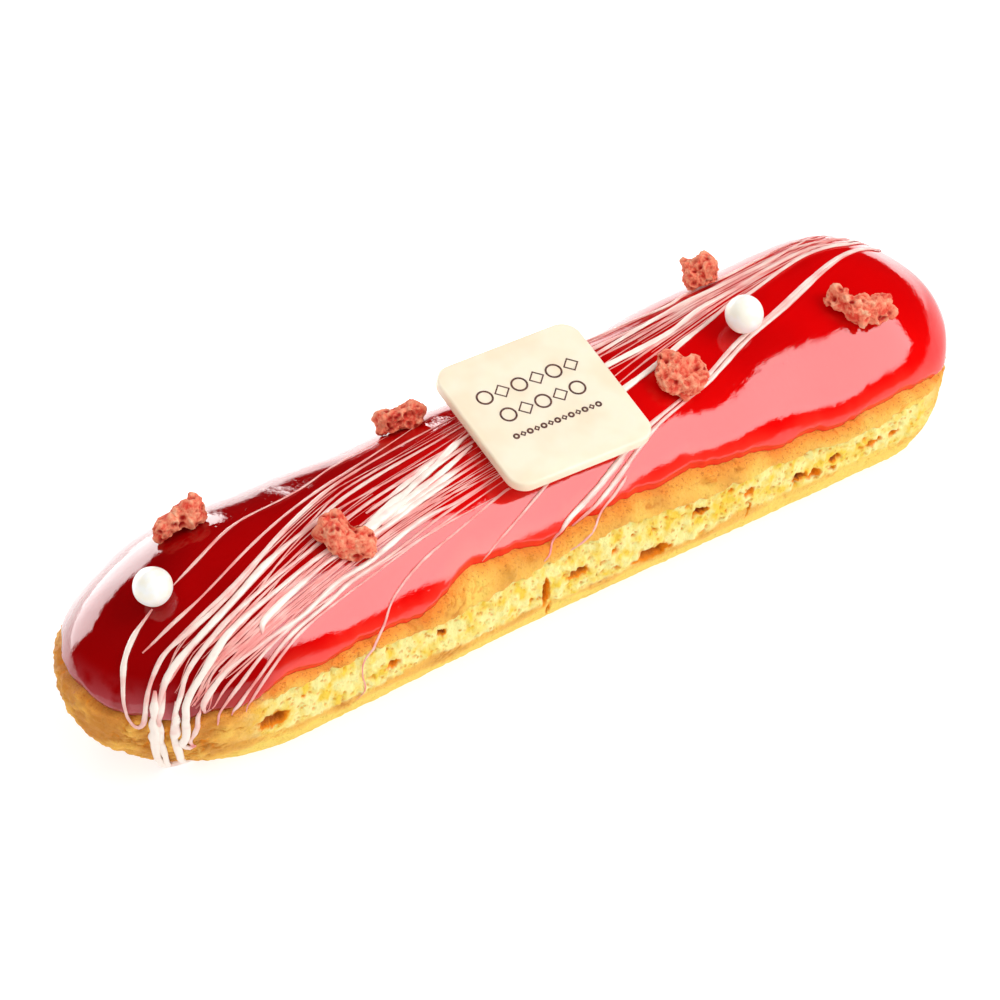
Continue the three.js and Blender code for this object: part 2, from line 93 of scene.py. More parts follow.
# The glaze's lower edge: its heights, and where its front rises from the left and falls to the right.
EDGE_LEFT, EDGE_MIDDLE, EDGE_RIGHT, EDGE_BACK = 12.4, 16.9, 12.9, 14.6
EDGE_LEFT_TIP, EDGE_RIGHT_TIP = 14, 13
EDGE_RISE, EDGE_FALL = (-62, -12), (24, 70)
EDGE_TURN = (0.05, 0.45)  # the sides between which it turns round the ends
EDGE_BACK_WAVE = (1.2, 0.06, 1)  # strength, turns and phase
EDGE_WAVES = ((0.3, 0.23, 1), (0.3, 0.61, 2))
EDGE_PLAY = ((0.4, 4.5, 3.1), (0.35, 1.1, 8.4))  # strength, size and seed
EDGE_SAGS = (  # place, reach and rise
    (-50, 5, 1.2), (-38, 3, 1), (-27, 6, -1.7), (-17, 3, 1), (-3.4, 4, -1.3), (18, 7, 1), (34, 5, -0.7),
    (59, 7, 1.2), (32, 24, -1.1),
)
SHOULDER_SAGS = ((23, 10, -0.35), (-2, 9, 0.12), (49, 8, 0.3))
SHOULDER_FADE = (-1, 6)  # the heights above the edge where the shoulder fades out

# The split in each side: the heights of its rims, where it opens, and how far round the ends it goes.
SPLIT_TOP, SPLIT_BOTTOM, SPLIT_DEPTH = 12.5, 5.9, 0.6
SPLIT_TOP_SAGS = ((-40, 6, 0.9), (-25, 5, -0.7), (5, 10, 1.1), (20.4, 3, -0.7), (49, 8, -1.6))
SPLIT_BOTTOM_SAGS = ((-27, 5, 1.2), (5, 12, -0.8), (28, 4, 1))
SPLIT_FROM, SPLIT_TO, SPLIT_FADE = -60, 68, 8
SPLIT_TURN = (0.3, 0.8)
RIM_PLAY = ((0.6, 3, 1.7), (0.5, 1.1, 5.2))  # strength, size and seed


def smooth(value, low, high):
    """A soft step from 0 at `low` to 1 at `high`."""
    share = np.clip((value - low) / (high - low), 0, 1)
    return share * share * (3 - 2 * share)


def lerp(a, b, share):
    return a + (b - a) * share


def girth(x):
    """The bun's width and height at a place along it, as a share."""
    return 1 - PINCH * np.exp(-(((x - PINCH_AT) / PINCH_REACH) ** 2))


def unevenness(p):
    """The slow swells that a piping bag leaves, faded out at the foot."""
    x, y, z = p[..., 0], p[..., 1], p[..., 2]
    swell = sum(s * np.sin(x * a + y * b + z * c + phase) for s, a, b, c, phase in UNEVEN_WAVES)
    return UNEVEN * swell * smooth(z, 0, BELLY / 2)


def stations(front_steps, back_steps, nose_steps):
    """The columns round the bun: where each starts on the spine, how far past it reaches, and its side,
    from 1 at the front to -1 at the back."""
    ahead = np.linspace(0, 1, front_steps, endpoint=False)
    behind = np.linspace(0, 1, back_steps, endpoint=False)
    turn = np.linspace(QUARTER, -QUARTER, nose_steps, endpoint=False)
    front = (lerp(LEFT_END, RIGHT_END, ahead), 0 * ahead, 1 + 0 * ahead)
    right = (RIGHT_END + 0 * turn, RIGHT_NOSE * np.cos(turn), np.sin(turn))
    back = (lerp(RIGHT_END, LEFT_END, behind), 0 * behind, -1 + 0 * behind)
    left = (LEFT_END + 0 * turn, -LEFT_NOSE * np.cos(turn), -np.sin(turn))
    return np.concatenate([front, right, back, left], axis=1)


def profile(level, foot):
    """The share of the plan and the height at a level: -1 is the middle of the foot, 0 its rim, 1 the
    belly and 2 the ridge."""
    low = np.clip(level, 0, 1) * QUARTER
    high = (np.clip(level, 1, 2) - 1) * QUARTER
    power = 2 / ROUNDNESS
    share = np.where(level < 1, foot + (1 - foot) * np.sin(low), np.cos(high) ** power)
    rise = np.where(level < 1, BELLY * (1 - np.cos(low)), BELLY + (HEIGHT - BELLY) * np.sin(high) ** power)
    return np.where(level < 0, foot * (1 + level), share), np.where(level < 0, 0, rise)


def level_at(height):
    """The level of the profile at a height."""
    low = np.arccos(1 - np.clip(height / BELLY, 0, 1)) / QUARTER
    share = np.clip((height - BELLY) / (HEIGHT - BELLY), 0, 1)
    return np.where(height < BELLY, low, 1 + np.arcsin(share ** (ROUNDNESS / 2)) / QUARTER)


def form(spots, level, swell):
    """The points of the columns at their levels, moved outwards by a swell."""
    spine, over, side = spots
    share, rise = profile(level, lerp(FOOT, np.where(over < 0, LEFT_FOOT, RIGHT_FOOT), 1 - side**4))
    x = spine + over * share
    p = np.stack([x, -side * (WIDTH / 2) * girth(x) * share, rise * girth(x)], -1)
    out = p - np.stack([spine + 0 * x, 0 * x, BELLY + 0 * x], -1)
    out /= np.linalg.norm(out, axis=-1, keepdims=True)
    nose = np.where(over < 0, LEFT_SWELL, -RIGHT_TUCK) * (1 - side**2) * (1 - smooth(level, *NOSE_FADE))
    nose = nose * smooth(level, *NOSE_RISE)
    reach = np.where(level > 0, swell + nose + unevenness(p), 0)
    p = p + out * reach[..., None]
    p[..., 2] = np.maximum(p[..., 2], 0)
    return p


def ripple(p, size, seed=0.0, stretch=(1, 1, 1)):
    """Smooth noise between about -1 and 1, in lumps `size` across."""
    spots = (p / (np.array(stretch) * size) + seed).reshape(-1, 3).tolist()
    return np.array([noise.noise(spot) for spot in spots]).reshape(p.shape[:-1])


def pits(p, size, seed=0.0, stretch=(1, 1, 1)):
    """Round pits of many widths, from 0 outside to 1 at their middles, one to each cell `size` across."""
    depth = []
    for spot in (p / (np.array(stretch) * size) + seed).reshape(-1, 3).tolist():
        near, places = noise.voronoi(spot)
        wide = 0.12 + 0.4 * abs(noise.noise(places[0] * 3.7))
        depth.append(max(0.0, 1 - (near[0] / wide) ** 2))
    return np.array(depth).reshape(p.shape[:-1])


def line_play(x, side, plays):
    """The play of a line that runs round the bun, different on its two sides."""
    spots = np.stack([x, 9 * side, 0 * x], -1)
    return sum(strength * ripple(spots, size, seed) for strength, size, seed in plays)


def sagging(x, sags):
    """The rise of a soft edge at places along the bun."""
    return sum(rise * np.exp(-(((x - place) / reach) ** 2)) for place, reach, rise in sags)


def waving(x, *waves):
    return sum(strength * np.sin(x * turns + phase) for strength, turns, phase in waves)


def shoulder(x, above):
    """How far the skin stands out at a height above the glaze's edge."""
    return sagging(x, SHOULDER_SAGS) * (1 - smooth(above, *SHOULDER_FADE))


def edge_height(x, side):
    """The height of the glaze's lower edge."""
    front = EDGE_LEFT + (EDGE_MIDDLE - EDGE_LEFT) * smooth(x, *EDGE_RISE)
    front = front - (EDGE_MIDDLE - EDGE_RIGHT) * smooth(x, *EDGE_FALL)
    front = front + sagging(x, EDGE_SAGS)
    back = EDGE_BACK + waving(x, EDGE_BACK_WAVE)
    tip = np.where(x < 0, EDGE_LEFT_TIP, EDGE_RIGHT_TIP)
    height = lerp(tip, np.where(side > 0, front, back), smooth(np.abs(side), *EDGE_TURN))
    return height + waving(x, *EDGE_WAVES) + line_play(x, side, EDGE_PLAY)


def edge_level(spots):
    x = spots[0] + spots[1]
    return level_at(edge_height(x, spots[2]) / girth(x))


def mark(mesh, key, values, kind="FLOAT", field="value"):
    """A value written on each point of a mesh, for its material or its tree."""
    mesh.attributes.new(key, kind, "POINT").data.foreach_set(field, np.array(values, np.float32).ravel())


def solid(name, rows, sheets=None):
    """A closed mesh object from rows of points that each close on themselves, marked with its sheets."""
    count, around = rows.shape[:2]
    corner = np.arange(count * around).reshape(count, around)
    ahead = np.roll(corner, -1, axis=1)
    faces = np.stack([corner[1:], ahead[1:], ahead[:-1], corner[:-1]], -1).reshape(-1, 4)
    mesh = bpy.data.meshes.new(name)
    mesh.from_pydata((rows.reshape(-1, 3) * MM).tolist(), [], faces.tolist())
    for key, values in (sheets or {}).items():
        mark(mesh, key, np.clip(values, 0, 1))
    work = bmesh.new()
    work.from_mesh(mesh)
    bmesh.ops.remove_doubles(work, verts=work.verts, dist=WELD)
    bmesh.ops.recalc_face_normals(work, faces=work.faces)
    for face in work.faces:
        face.smooth = True
    work.to_mesh(mesh)
    work.free()
    return place(mesh)


def place(mesh):
    piece = bpy.data.objects.new(mesh.name, mesh)
    bpy.context.collection.objects.link(piece)
    return piece


BUN_STEPS = (450, 230, 160)  # columns along the front and the back, and round each nose
HIDDEN_ROWS, CRUST_ROWS = 5, 90

# How far each relief of the crust and the crumb stands out or goes in.
WRINKLE, GRAIN, CRAG, RAG, LUMP, CRUST_ROLL = 0.14, 0.14, 0.42, 0.4, 0.6, 0.35
SKIN_PIT, CRACK, LEFT_CRACK = 0.3, 0.15, 0.4
FIBRE, BUBBLE, SMALL_BUBBLE = 0.45, 0.7, 0.4
LEFT_CAP = (-66, -54)  # where the rough closed crust of the left end gives way
EDGE_BAND = (0.2, 2.6)  # how far under the glaze the crust is torn
EDGE_SIDE = (0.25, 0.7)  # and how far round the ends
STAIN_BAND = (0.3, 2.6)  # how far under the glaze it is stained
FOOT_FADE, FOOT_PALE = (0.1, 1.6), (3, 5)  # the heights where relief comes in, and where the pale foot ends
ROLL_ABOVE, ROLL_REACH = 0.9, 1.3  # where the roll of crust runs above the split
BOTTOM_RIM, TOP_RIM = (-0.7, 0.3), (-0.2, 0.4)  # how softly the split's rims turn in
HOLE_RIM, HOLE_SHADE_REACH = (0.55, 1.15), (0.75, 1.4)  # where a hollow falls in, and where the painted shade round it fades

# Hollows of the front split: place along, height, half length, half height, depth and how dark the painted
# shade inside is.
HOLLOWS = (
    (-53.4, 8, 2.3, 1, 1.3, 0.75),
    (-33.7, 8.6, 1.1, 0.7, 1.1, 0.6),
    (-25, 10, 0.6, 0.4, 0.7, 0.9),
    (12.7, 5.9, 2.8, 1.2, 1.7, 0.7),
    (-0.6, 8.6, 1.5, 0.9, 1.4, 0.8),
    (-6.2, 7.6, 0.6, 2.4, 1.5, 0.65),
    (-5.2, 3.8, 0.3, 1.4, 1.1, 0.6),
    (20.6, 10, 1.3, 0.5, 1.7, 1),
    (29.6, 9.6, 0.8, 0.6, 1.1, 0.6),
    (39, 7.8, 1.1, 0.7, 1.6, 0.95),
    (41.9, 7, 1.2, 0.7, 1.2, 0.55),
    (45.5, 8.3, 0.8, 0.6, 1.4, 0.9),
    (45.2, 6.6, 0.5, 0.4, 1, 0.6),
    (52.3, 7.9, 1.7, 0.5, 1.2, 0.6),
    (56.4, 8, 0.9, 0.4, 1, 0.65),
    (29.8, 6, 0.16, 1.6, 0.7, 0.9),
)
# Those of the back split are drawn at random between these.
BACK_HOLLOWS = 15
BACK_LEAST, BACK_MOST = (-52, 5.5, 0.5, 0.4, 0.8, 0.5), (60, 8.6, 2.4, 0.9, 1.5, 0.95)
# Knobs of crust that stand up at the glaze's edge: place along, height, radius and rise.
KNOBS = (
    (-17, 15.4, 1.6, 0.5),
    (-12.8, 15.6, 1.5, 1.0),
    (-8, 15.6, 1.3, 0.5),
    (1, 15.8, 1.6, 0.5),
    (9, 16.2, 1.2, 0.6),
    (22.6, 15.4, 1, 1.1),
    (27.4, 15.4, 0.9, 1),
    (34, 14.6, 1.6, 0.4),
)

random = np.random.default_rng(12)
back_hollows = [[random.uniform(*ends) for ends in zip(BACK_LEAST, BACK_MOST)] for _ in range(BACK_HOLLOWS)]

spots = stations(*BUN_STEPS)
edge = edge_level(spots)
share = np.linspace(0, 1, CRUST_ROWS)[:, None]
levels = lerp(edge - LIP, 0, share)
plain = form(spots, levels, 0)
x, y, z = plain[..., 0], plain[..., 1], plain[..., 2]
side = spots[2] + 0 * x
height = z / girth(x)
edge_z = edge_height(spots[0] + spots[1], spots[2])

# how open the split is, and where its rims run
left = smooth(x, SPLIT_FROM, SPLIT_FROM + SPLIT_FADE)
right = 1 - smooth(x, SPLIT_TO - SPLIT_FADE, SPLIT_TO)
opening = left * right * smooth(np.abs(side), *SPLIT_TURN)
rim_play = line_play(x, side, RIM_PLAY)
top = SPLIT_TOP + sagging(x, SPLIT_TOP_SAGS) + rim_play
bottom = SPLIT_BOTTOM + sagging(x, SPLIT_BOTTOM_SAGS) - 0.5 * rim_play
crumb = opening * smooth(z - bottom, *BOTTOM_RIM) * (1 - smooth(z - top, *TOP_RIM))
recess = SPLIT_DEPTH * smooth(z, bottom, top)

# the torn crumb: fibres pulled upright, bubbles of two sizes, and the large hollows
fibres = ripple(plain, 1.1, 2.3, (1, 1, 3)) + 0.7 * ripple(plain, 0.5, 4.1, (1, 1, 2))
bubbles = pits(plain, 1.7, 1.1, (1.3, 1, 1))
small_bubbles = pits(plain, 0.85, 6.4)
warp = 0.45 * ripple(plain, 0.9, 7.7)
# The hollow sheet is painted shade: gold deepening to brown in the bubbles and hollows, reaching a little
# past their rims.
hollow = 0.7 * crumb * bubbles**1.5 * smooth(ripple(plain, 9, 3.3), -0.5, 0.3)
hollow = np.maximum(hollow, 0.45 * crumb * small_bubbles)
sunk = crumb * (BUBBLE * bubbles + SMALL_BUBBLE * small_bubbles)
for facing, holes in ((1, HOLLOWS), (-1, back_hollows)):
    for along, up, half_long, half_high, depth, inner_shade in holes:
        away = np.hypot((x - along) / half_long, (z - up) / half_high) + warp
        here = side * facing > 0
        sunk = np.maximum(sunk, 1.25 * depth * np.where(here, 1 - smooth(away, *HOLE_RIM), 0))
        hollow = np.maximum(hollow, inner_shade * np.where(here, 1 - smooth(away, *HOLE_SHADE_REACH), 0))

# the crust: long wrinkles, a sandy pitted skin, cracks, and torn lumps and knobs where the glaze ends
wrinkles = ripple(plain, 2.2, 5.5, (2.6, 1, 0.8))
cracks = 1 - np.abs(ripple(plain, 3.4, 9.1, (2.2, 1, 0.9)) + 0.3 * ripple(plain, 0.9, 1.2)) * 12
cracks = np.clip(cracks, 0, 1) * smooth(ripple(plain, 6, 7.1), -0.3, 0.2)
left_end = 1 - smooth(x, *LEFT_CAP)
skin_pits = pits(plain, 0.95, 2.9)
edge_near = (1 - smooth(edge_z - z, *EDGE_BAND)) * smooth(np.abs(side), *EDGE_SIDE)
lumps = np.maximum(0, ripple(plain, 2.4, 6.2)) * edge_near * LUMP
knob = 0 * x
for along, up, radius, rise in KNOBS:
    away = np.hypot(x - along, z - up) / radius + warp
    knob = np.maximum(knob, np.where(side > 0, rise * (1 - smooth(away, 0.3, 1.2)), 0))
roll = CRUST_ROLL * opening * np.exp(-(((z - top - ROLL_ABOVE) / ROLL_REACH) ** 2))
grain = ripple(plain, 1.1, 3.9) + 0.7 * ripple(plain, 0.55, 8.3)
crags = ripple(plain, 1.7, 2.9) + 0.7 * ripple(plain, 0.75, 6.6)
ragged = np.abs(ripple(plain, 1.3, 4.8, (1.8, 1, 0.8))) * edge_near * (1 - left_end)
skin = WRINKLE * wrinkles + GRAIN * grain - SKIN_PIT * skin_pits + lumps + knob + CRAG * left_end * crags
skin += RAG * ragged + shoulder(x, 0) * (1 - smooth(edge_z - z, 0, 3))
skin -= (CRACK + LEFT_CRACK * left_end) * cracks
crust = 1 - crumb
foot_fade = smooth(height, *FOOT_FADE)
swell = (crust * (skin + roll) + crumb * (FIBRE * fibres - recess) - sunk) * foot_fade
swell[0] = np.minimum(swell[0], -LEDGE)

# how brown it baked, most at the left end and least over the foot, with painted shade along the relief:
# darker in the cracks and between the left end's crags, paler on the crags' tops
foot_band = 1 - smooth(height, *FOOT_PALE)
bake_and_shade = 0.5 + 0.5 * ripple(plain, 5, 4.4) + 0.35 * left_end - 0.65 * foot_band * (1 - left_end)
bake_and_shade += (0.1 + 0.25 * left_end) * (1 - smooth(height, 0.3, 1.4)) + 0.5 * cracks - 0.4 * left_end * crags
bake_and_shade -= 0.25 * smooth(x, 30, 50)
stain = 1 - smooth(edge_z - z, *STAIN_BAND)
sheets = {
    "crumb": crumb,
    # painted shade, also in the crust's pits and cracks, most at the left end
    "hollow": hollow + crust * (0.25 * skin_pits + 0.3 * cracks) * (0.4 + 0.6 * left_end),
    "bake_and_shade": bake_and_shade,
    "stain": stain * (1 - 0.6 * left_end) * (0.9 + 1.2 * ripple(plain, 2.6, 1.9)),
}

# the rows under the glaze come first, and those of the flat foot last
hidden = np.linspace(RIDGE, edge, HIDDEN_ROWS)
sole = 0 * edge + [[FOOT_MIDDLE / 2], [FOOT_MIDDLE]]
levels = np.concatenate([hidden, levels, sole])
swell = np.concatenate([0 * hidden - GLAZE - GAP, swell, 0 * sole])
sheets = {key: np.pad(values, ((HIDDEN_ROWS, len(sole)), (0, 0)), "edge") for key, values in sheets.items()}
bun = solid("choux_bun", form(spots, levels, swell), sheets)


def paint(red, green, blue):
    """A colour as the eye sees it, from 0 to 255, for a shader's socket."""
    shares = [value / 255 for value in (red, green, blue)]
    return tuple(v / 12.92 if v < 0.04045 else ((v + 0.055) / 1.055) ** 2.4 for v in shares) + (1,)


class Recipe:
    """A node tree in the making. Each step adds a node and gives back one of its outputs."""

    def __init__(self, tree):
        self.tree = tree

    def add(self, kind, inputs=None, output=0, **settings):
        node = self.tree.nodes.new(kind)
        for key, value in settings.items():
            setattr(node, key, value)
        for key, value in (inputs or {}).items():
            if isinstance(value, bpy.types.NodeSocket):
                self.tree.links.new(value, node.inputs[key])
            else:
                node.inputs[key].default_value = value
        return node.outputs[output] if node.outputs else None

    def mix(self, factor, a, b):
        """A colour that goes from a to b."""
        return self.add("ShaderNodeMix", {0: factor, 6: a, 7: b}, 2, data_type="RGBA")

    def coats(self, colour, *coats):
        """A colour under further coats, each as a share and a colour."""
        for share, coat in coats:
            colour = self.mix(share, colour, coat)
        return colour

    def math(self, operation, a, b=0.0, clamp=False):
        return self.add("ShaderNodeMath", {0: a, 1: b}, operation=operation, use_clamp=clamp)

    def plus(self, a, b):
        return self.math("ADD", a, b)

    def minus(self, a, b):
        return self.math("SUBTRACT", a, b)

    def times(self, a, b):
        return self.math("MULTIPLY", a, b)

    def vector(self, operation, a, b=(0, 0, 0), output=0):
        return self.add("ShaderNodeVectorMath", {0: a, 1: b}, output, operation=operation)

    def range(self, value, low, high, start=0.0, end=1.0):
        """A value moved from one range to another, and kept inside it."""
        inputs = {"Value": value, "From Min": low, "From Max": high, "To Min": start, "To Max": end}
        return self.add("ShaderNodeMapRange", inputs)

    def read(self, key, kind="FLOAT"):
        """The value that is marked on each point of the shape."""
        return self.add("GeometryNodeInputNamedAttribute", {"Name": key}, data_type=kind)

    def store(self, shape, key, value, kind="FLOAT"):
        inputs = {"Geometry": shape, "Name": key, "Value": value}
        return self.add("GeometryNodeStoreNamedAttribute", inputs, data_type=kind, domain="POINT")

    def push(self, shape, way, reach):
        """The shape with its points moved along a way."""
        offset = self.add("ShaderNodeVectorMath", {0: way, "Scale": reach}, operation="SCALE")
        return self.add("GeometryNodeSetPosition", {"Geometry": shape, "Offset": offset})


class Finish(Recipe):
    """A material: a Principled surface whose colour and bump come from the steps of its recipe."""

    def __init__(self, name, **surface):
        self.material = bpy.data.materials.new(name)
        self.material.use_nodes = True
        super().__init__(self.material.node_tree)
        self.surface = self.tree.nodes["Principled BSDF"]
        for key, value in surface.items():
            self.surface.inputs[key.replace("_", " ")].default_value = value
        self.place = self.add("ShaderNodeTexCoord", output=3)

    def sheet(self, key):
        return self.add("ShaderNodeAttribute", output=2, attribute_name=key)

    def noise(self, size, detail=2.0, stretch=(1, 1, 1)):
        """Cloudy noise in lumps of a size in millimetres."""
        spread = self.vector("DIVIDE", self.place, stretch)
        inputs = {"Vector": spread, "Scale": 1 / (size * MM), "Detail": detail}
        return self.add("ShaderNodeTexNoise", inputs)

    def cells(self, size):
        """The distance from the middle of the nearest cell, as a share of the cells' size."""
        return self.add("ShaderNodeTexVoronoi", {"Vector": self.place, "Scale": 1 / (size * MM)})

    def colour(self, value):
        self.tree.links.new(value, self.surface.inputs["Base Color"])

    def rough(self, value):
        self.tree.links.new(value, self.surface.inputs["Roughness"])

    def bump(self, height, depth):
        """A relief `depth` millimetres deep where the height goes from 0 to 1."""
        inputs = {"Height": height, "Strength": 1.0, "Distance": depth * MM}
        self.tree.links.new(self.add("ShaderNodeBump", inputs), self.surface.inputs["Normal"])


CRUST_PALE, CRUST_GOLD, CRUST_TAN = paint(255, 218, 104), paint(248, 186, 82), paint(208, 134, 52)
CRUST_STAIN, CRUST_FRECKLE = paint(252, 142, 36), paint(196, 88, 34)
CRUMB_PALE, CRUMB_YELLOW, CRUMB_PORE_SHADE = paint(255, 241, 160), paint(252, 212, 74), paint(240, 164, 34)
HOLLOW_SHADE_GOLD, HOLLOW_SHADE_BROWN = paint(246, 142, 0), paint(134, 50, 0)

pastry = Finish(
    "baked_choux", Roughness=0.72, IOR=1.4, Subsurface_Weight=0.15, Subsurface_Scale=0.8 * MM,
    Subsurface_Radius=(1.0, 0.55, 0.25), Specular_IOR_Level=0.3,
)
bake_and_shade_sheet = pastry.sheet("bake_and_shade")
stained = pastry.sheet("stain")
speckle = pastry.range(pastry.noise(0.35, 3), 0.56, 0.68)
# The crust's tan deepens where it baked brown and where shade is painted into the cracks and between the
# crags.
crust_colour = pastry.coats(
    CRUST_PALE,
    (pastry.range(bake_and_shade_sheet, 0.1, 0.55), CRUST_GOLD),
    (pastry.range(bake_and_shade_sheet, 0.55, 1.05), CRUST_TAN),
    (pastry.times(stained, 0.5), CRUST_STAIN),
    (pastry.times(speckle, pastry.range(stained, 0, 0.7, 0.2, 0.6)), CRUST_FRECKLE),
)
mottle = pastry.range(pastry.noise(2.4, 3), 0.42, 0.64)
# The crumb's pores are painted a darker gold, a painted shade in the pits that the bump sinks.
pores = pastry.range(pastry.cells(0.95), 0.1, 0.36, 0.9, 0.0)
pores = pastry.times(pores, pastry.range(pastry.noise(1.6, 2), 0.42, 0.56))
crumb_colour = pastry.coats(CRUMB_PALE, (mottle, CRUMB_YELLOW), (pores, CRUMB_PORE_SHADE))
# Painted shade: gold, then brown, where the hollow sheet is high, in the hollows, bubbles, pits and cracks.
hollow_shade = pastry.sheet("hollow")
pastry.colour(pastry.coats(
    crust_colour,
    (pastry.sheet("crumb"), crumb_colour),
    (pastry.range(hollow_shade, 0.03, 0.4), HOLLOW_SHADE_GOLD),
    (pastry.range(hollow_shade, 0.45, 0.9), HOLLOW_SHADE_BROWN),
))
grain = pastry.minus(pastry.noise(0.4, 4), pastry.times(pores, 0.6))
pastry.bump(grain, 0.32)
bun.data.materials.append(pastry.material)

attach(bun, "root")
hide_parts("choux")

# ============ the glaze
# A red mirror glaze, poured over the top of the bun and set. It is a millimetre or so thick, hangs in a
# soft lip along its lower edge, and thins to a pinkish film round the left end.

GLAZE_STEPS = (300, 180, 130)
GLAZE_ROWS, GLAZE_BACK_ROWS, LIP_STEPS = 64, 6, 5
LIP_BULGE, LIP_BACK = 0.03, 0.02  # the levels by which the lip hangs, and stops behind

# Where the glaze's colour changes, along its brim, on its lower flanks and in the thin film round the left
# end: heights (above its edge, for the first two) and places along the bun. The brim's coral is partly
# painted reflection and the flanks' brighter red is painted light.
BRIM_UP, BRIM_ALONG = (0.2, 4.2), (-64, -50)
FLANK_UP, FLANK_ALONG = (3, 13), (-62, -40)
FILM_UP, FILM_ALONG = (12, 18.5), (-72, -60)

glaze_spots = stations(*GLAZE_STEPS)
glaze_edge = edge_level(glaze_spots) + LIP
outer = np.linspace(RIDGE, glaze_edge + LIP_BULGE, GLAZE_ROWS)
turn = np.linspace(0, 1, LIP_STEPS)[1:, None]
lip = glaze_edge + LIP_BULGE * np.cos(turn * QUARTER * 2)
fold = -GLAZE * turn + 0 * lip
inner = np.linspace(glaze_edge + LIP_BACK, RIDGE, GLAZE_BACK_ROWS)
levels = np.concatenate([outer, lip, inner])
plain = form(glaze_spots, levels, 0)
waves = 0.05 * ripple(plain, 7, 2.2) + 0.02 * ripple(plain, 2.6, 5.1)
x, z = plain[..., 0], plain[..., 2]
above = z - edge_height(glaze_spots[0] + glaze_spots[1], glaze_spots[2])
swell = shoulder(x, above) + np.concatenate([0 * outer, fold, 0 * inner - GLAZE])
swell = swell + waves * np.concatenate([1 + 0 * outer, 0 * lip, 0 * inner])
sheets = {
    "thin": (1 - smooth(x, *FILM_ALONG)) * (1 - smooth(z, *FILM_UP)),
    "brim": (1 - smooth(above, *BRIM_UP)) * smooth(x, *BRIM_ALONG),
    "flank": (1 - smooth(above, *FLANK_UP)) * smooth(x, *FLANK_ALONG),
}
glaze = solid("mirror_glaze", form(glaze_spots, levels, swell), sheets)

GLAZE_RED, GLAZE_SHADED_RED, GLAZE_FILM = paint(214, 0, 2), paint(142, 0, 2), paint(186, 84, 90)
GLAZE_FLANK_LIT, GLAZE_BRIM_TINT_AND_REFLECTION = paint(246, 6, 5), paint(250, 62, 44)

mirror = Finish("red_mirror_glaze", Roughness=0.04, IOR=1.5)
# Painted light and shade: deeper red towards the left end and brighter towards the right, as if lit from the
# right, with random clouds.
along = mirror.range(mirror.add("ShaderNodeSeparateXYZ", {0: mirror.place}), -72 * MM, 62 * MM)
cloud = mirror.range(mirror.noise(14, 1), 0.3, 0.7, -0.15, 0.15)
film = mirror.times(mirror.sheet("thin"), mirror.range(mirror.noise(3, 3), 0.3, 0.52))
brim = mirror.sheet("brim")
mirror.colour(mirror.coats(
    GLAZE_SHADED_RED,
    (mirror.math("ADD", along, cloud, True), GLAZE_RED),
    # the lower sides painted a brighter red, a painted light
    (mirror.times(mirror.sheet("flank"), 0.85), GLAZE_FLANK_LIT),
    # The brim's coral is partly the thin glaze over the crust and partly a painted reflection of the bright
    # board.
    (mirror.times(brim, 0.85), GLAZE_BRIM_TINT_AND_REFLECTION),
    (film, GLAZE_FILM),
))
mirror.rough(mirror.range(brim, 0.1, 0.9, 0.04, 0.13))
dust = mirror.range(mirror.cells(2.3), 0.0, 0.09, 1.0, 0.0)
fine = mirror.plus(mirror.noise(0.5, 2), mirror.times(mirror.noise(0.22, 1), 0.5))
swirl = mirror.plus(mirror.noise(2.8, 2), mirror.times(fine, 0.2))
mirror.bump(mirror.plus(swirl, mirror.times(dust, 0.3)), 0.05)
glaze.data.materials.append(mirror.material)

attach(glaze, "root")
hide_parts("glaze")

# ============ the drizzle
# White icing flicked over the glaze from a fork while it was warm. It lies in long soft threads that fan
# out from under the plaque, and the thickest run down the left end and pool at the foot.

SEARCH_STEPS = 30
NORMAL_REACH, NORMAL_LEAN = 0.5, 2  # the steps that the skin's direction is measured over


def inside(p):
    """Whether a point is inside the outer form, before its unevenness."""
    x, y, z = p[..., 0], p[..., 1], p[..., 2]
    g = girth(x)
    past = np.maximum(np.maximum((LEFT_END - x) / LEFT_NOSE, (x - RIGHT_END) / RIGHT_NOSE), 0)
    share = np.hypot(past, y / (WIDTH / 2 * g))
    rise = z / g
    low = FOOT + (1 - FOOT) * np.sqrt(np.clip(1 - (1 - np.clip(rise / BELLY, 0, 1)) ** 2, 0, 1))
    arch = share**ROUNDNESS + np.clip((rise - BELLY) / (HEIGHT - BELLY), 0, None) ** ROUNDNESS < 1
    return (rise >= 0) & np.where(rise < BELLY, share < low, arch)


def surface(x, lean):
    """The points of the outer form at places along the bun and leans from the ridge, in degrees to the
    front."""
    lean = np.radians(lean)
    way = np.stack([0 * lean, -np.sin(lean), np.cos(lean)], -1)
    middle = np.stack([x, 0 * lean, BELLY + 0 * lean], -1)
    near, far = 0 * lean, WIDTH + 0 * lean
    for _ in range(SEARCH_STEPS):
        reach = (near + far) / 2
        within = inside(middle + way * reach[..., None])
        near, far = np.where(within, reach, near), np.where(within, far, reach)
    p = middle + way * near[..., None]
    return p + way * unevenness(p)[..., None]


def surface_normal(x, lean):
    """The outward directions of the outer form there."""
    along = surface(x + NORMAL_REACH, lean) - surface(x - NORMAL_REACH, lean)
    across = surface(x, lean + NORMAL_LEAN) - surface(x, lean - NORMAL_LEAN)
    out = np.cross(across, along)
    return out / np.linalg.norm(out, axis=-1, keepdims=True)


def flowing(points, steps):
    """A smooth line through guide points, by Catmull-Rom."""
    points = np.array(points, float)
    ends = np.concatenate([[2 * points[0] - points[1]], points, [2 * points[-1] - points[-2]]])
    place = np.linspace(0, len(points) - 1, steps)
    first = np.minimum(place.astype(int), len(points) - 2)
    t = (place - first)[:, None]
    a, b, c, d = (ends[first + k] for k in range(4))
    return 0.5 * (2 * b + (c - a) * t + (2 * a - 5 * b + 4 * c - d) * t**2 + (3 * b - a - 3 * c + d) * t**3)


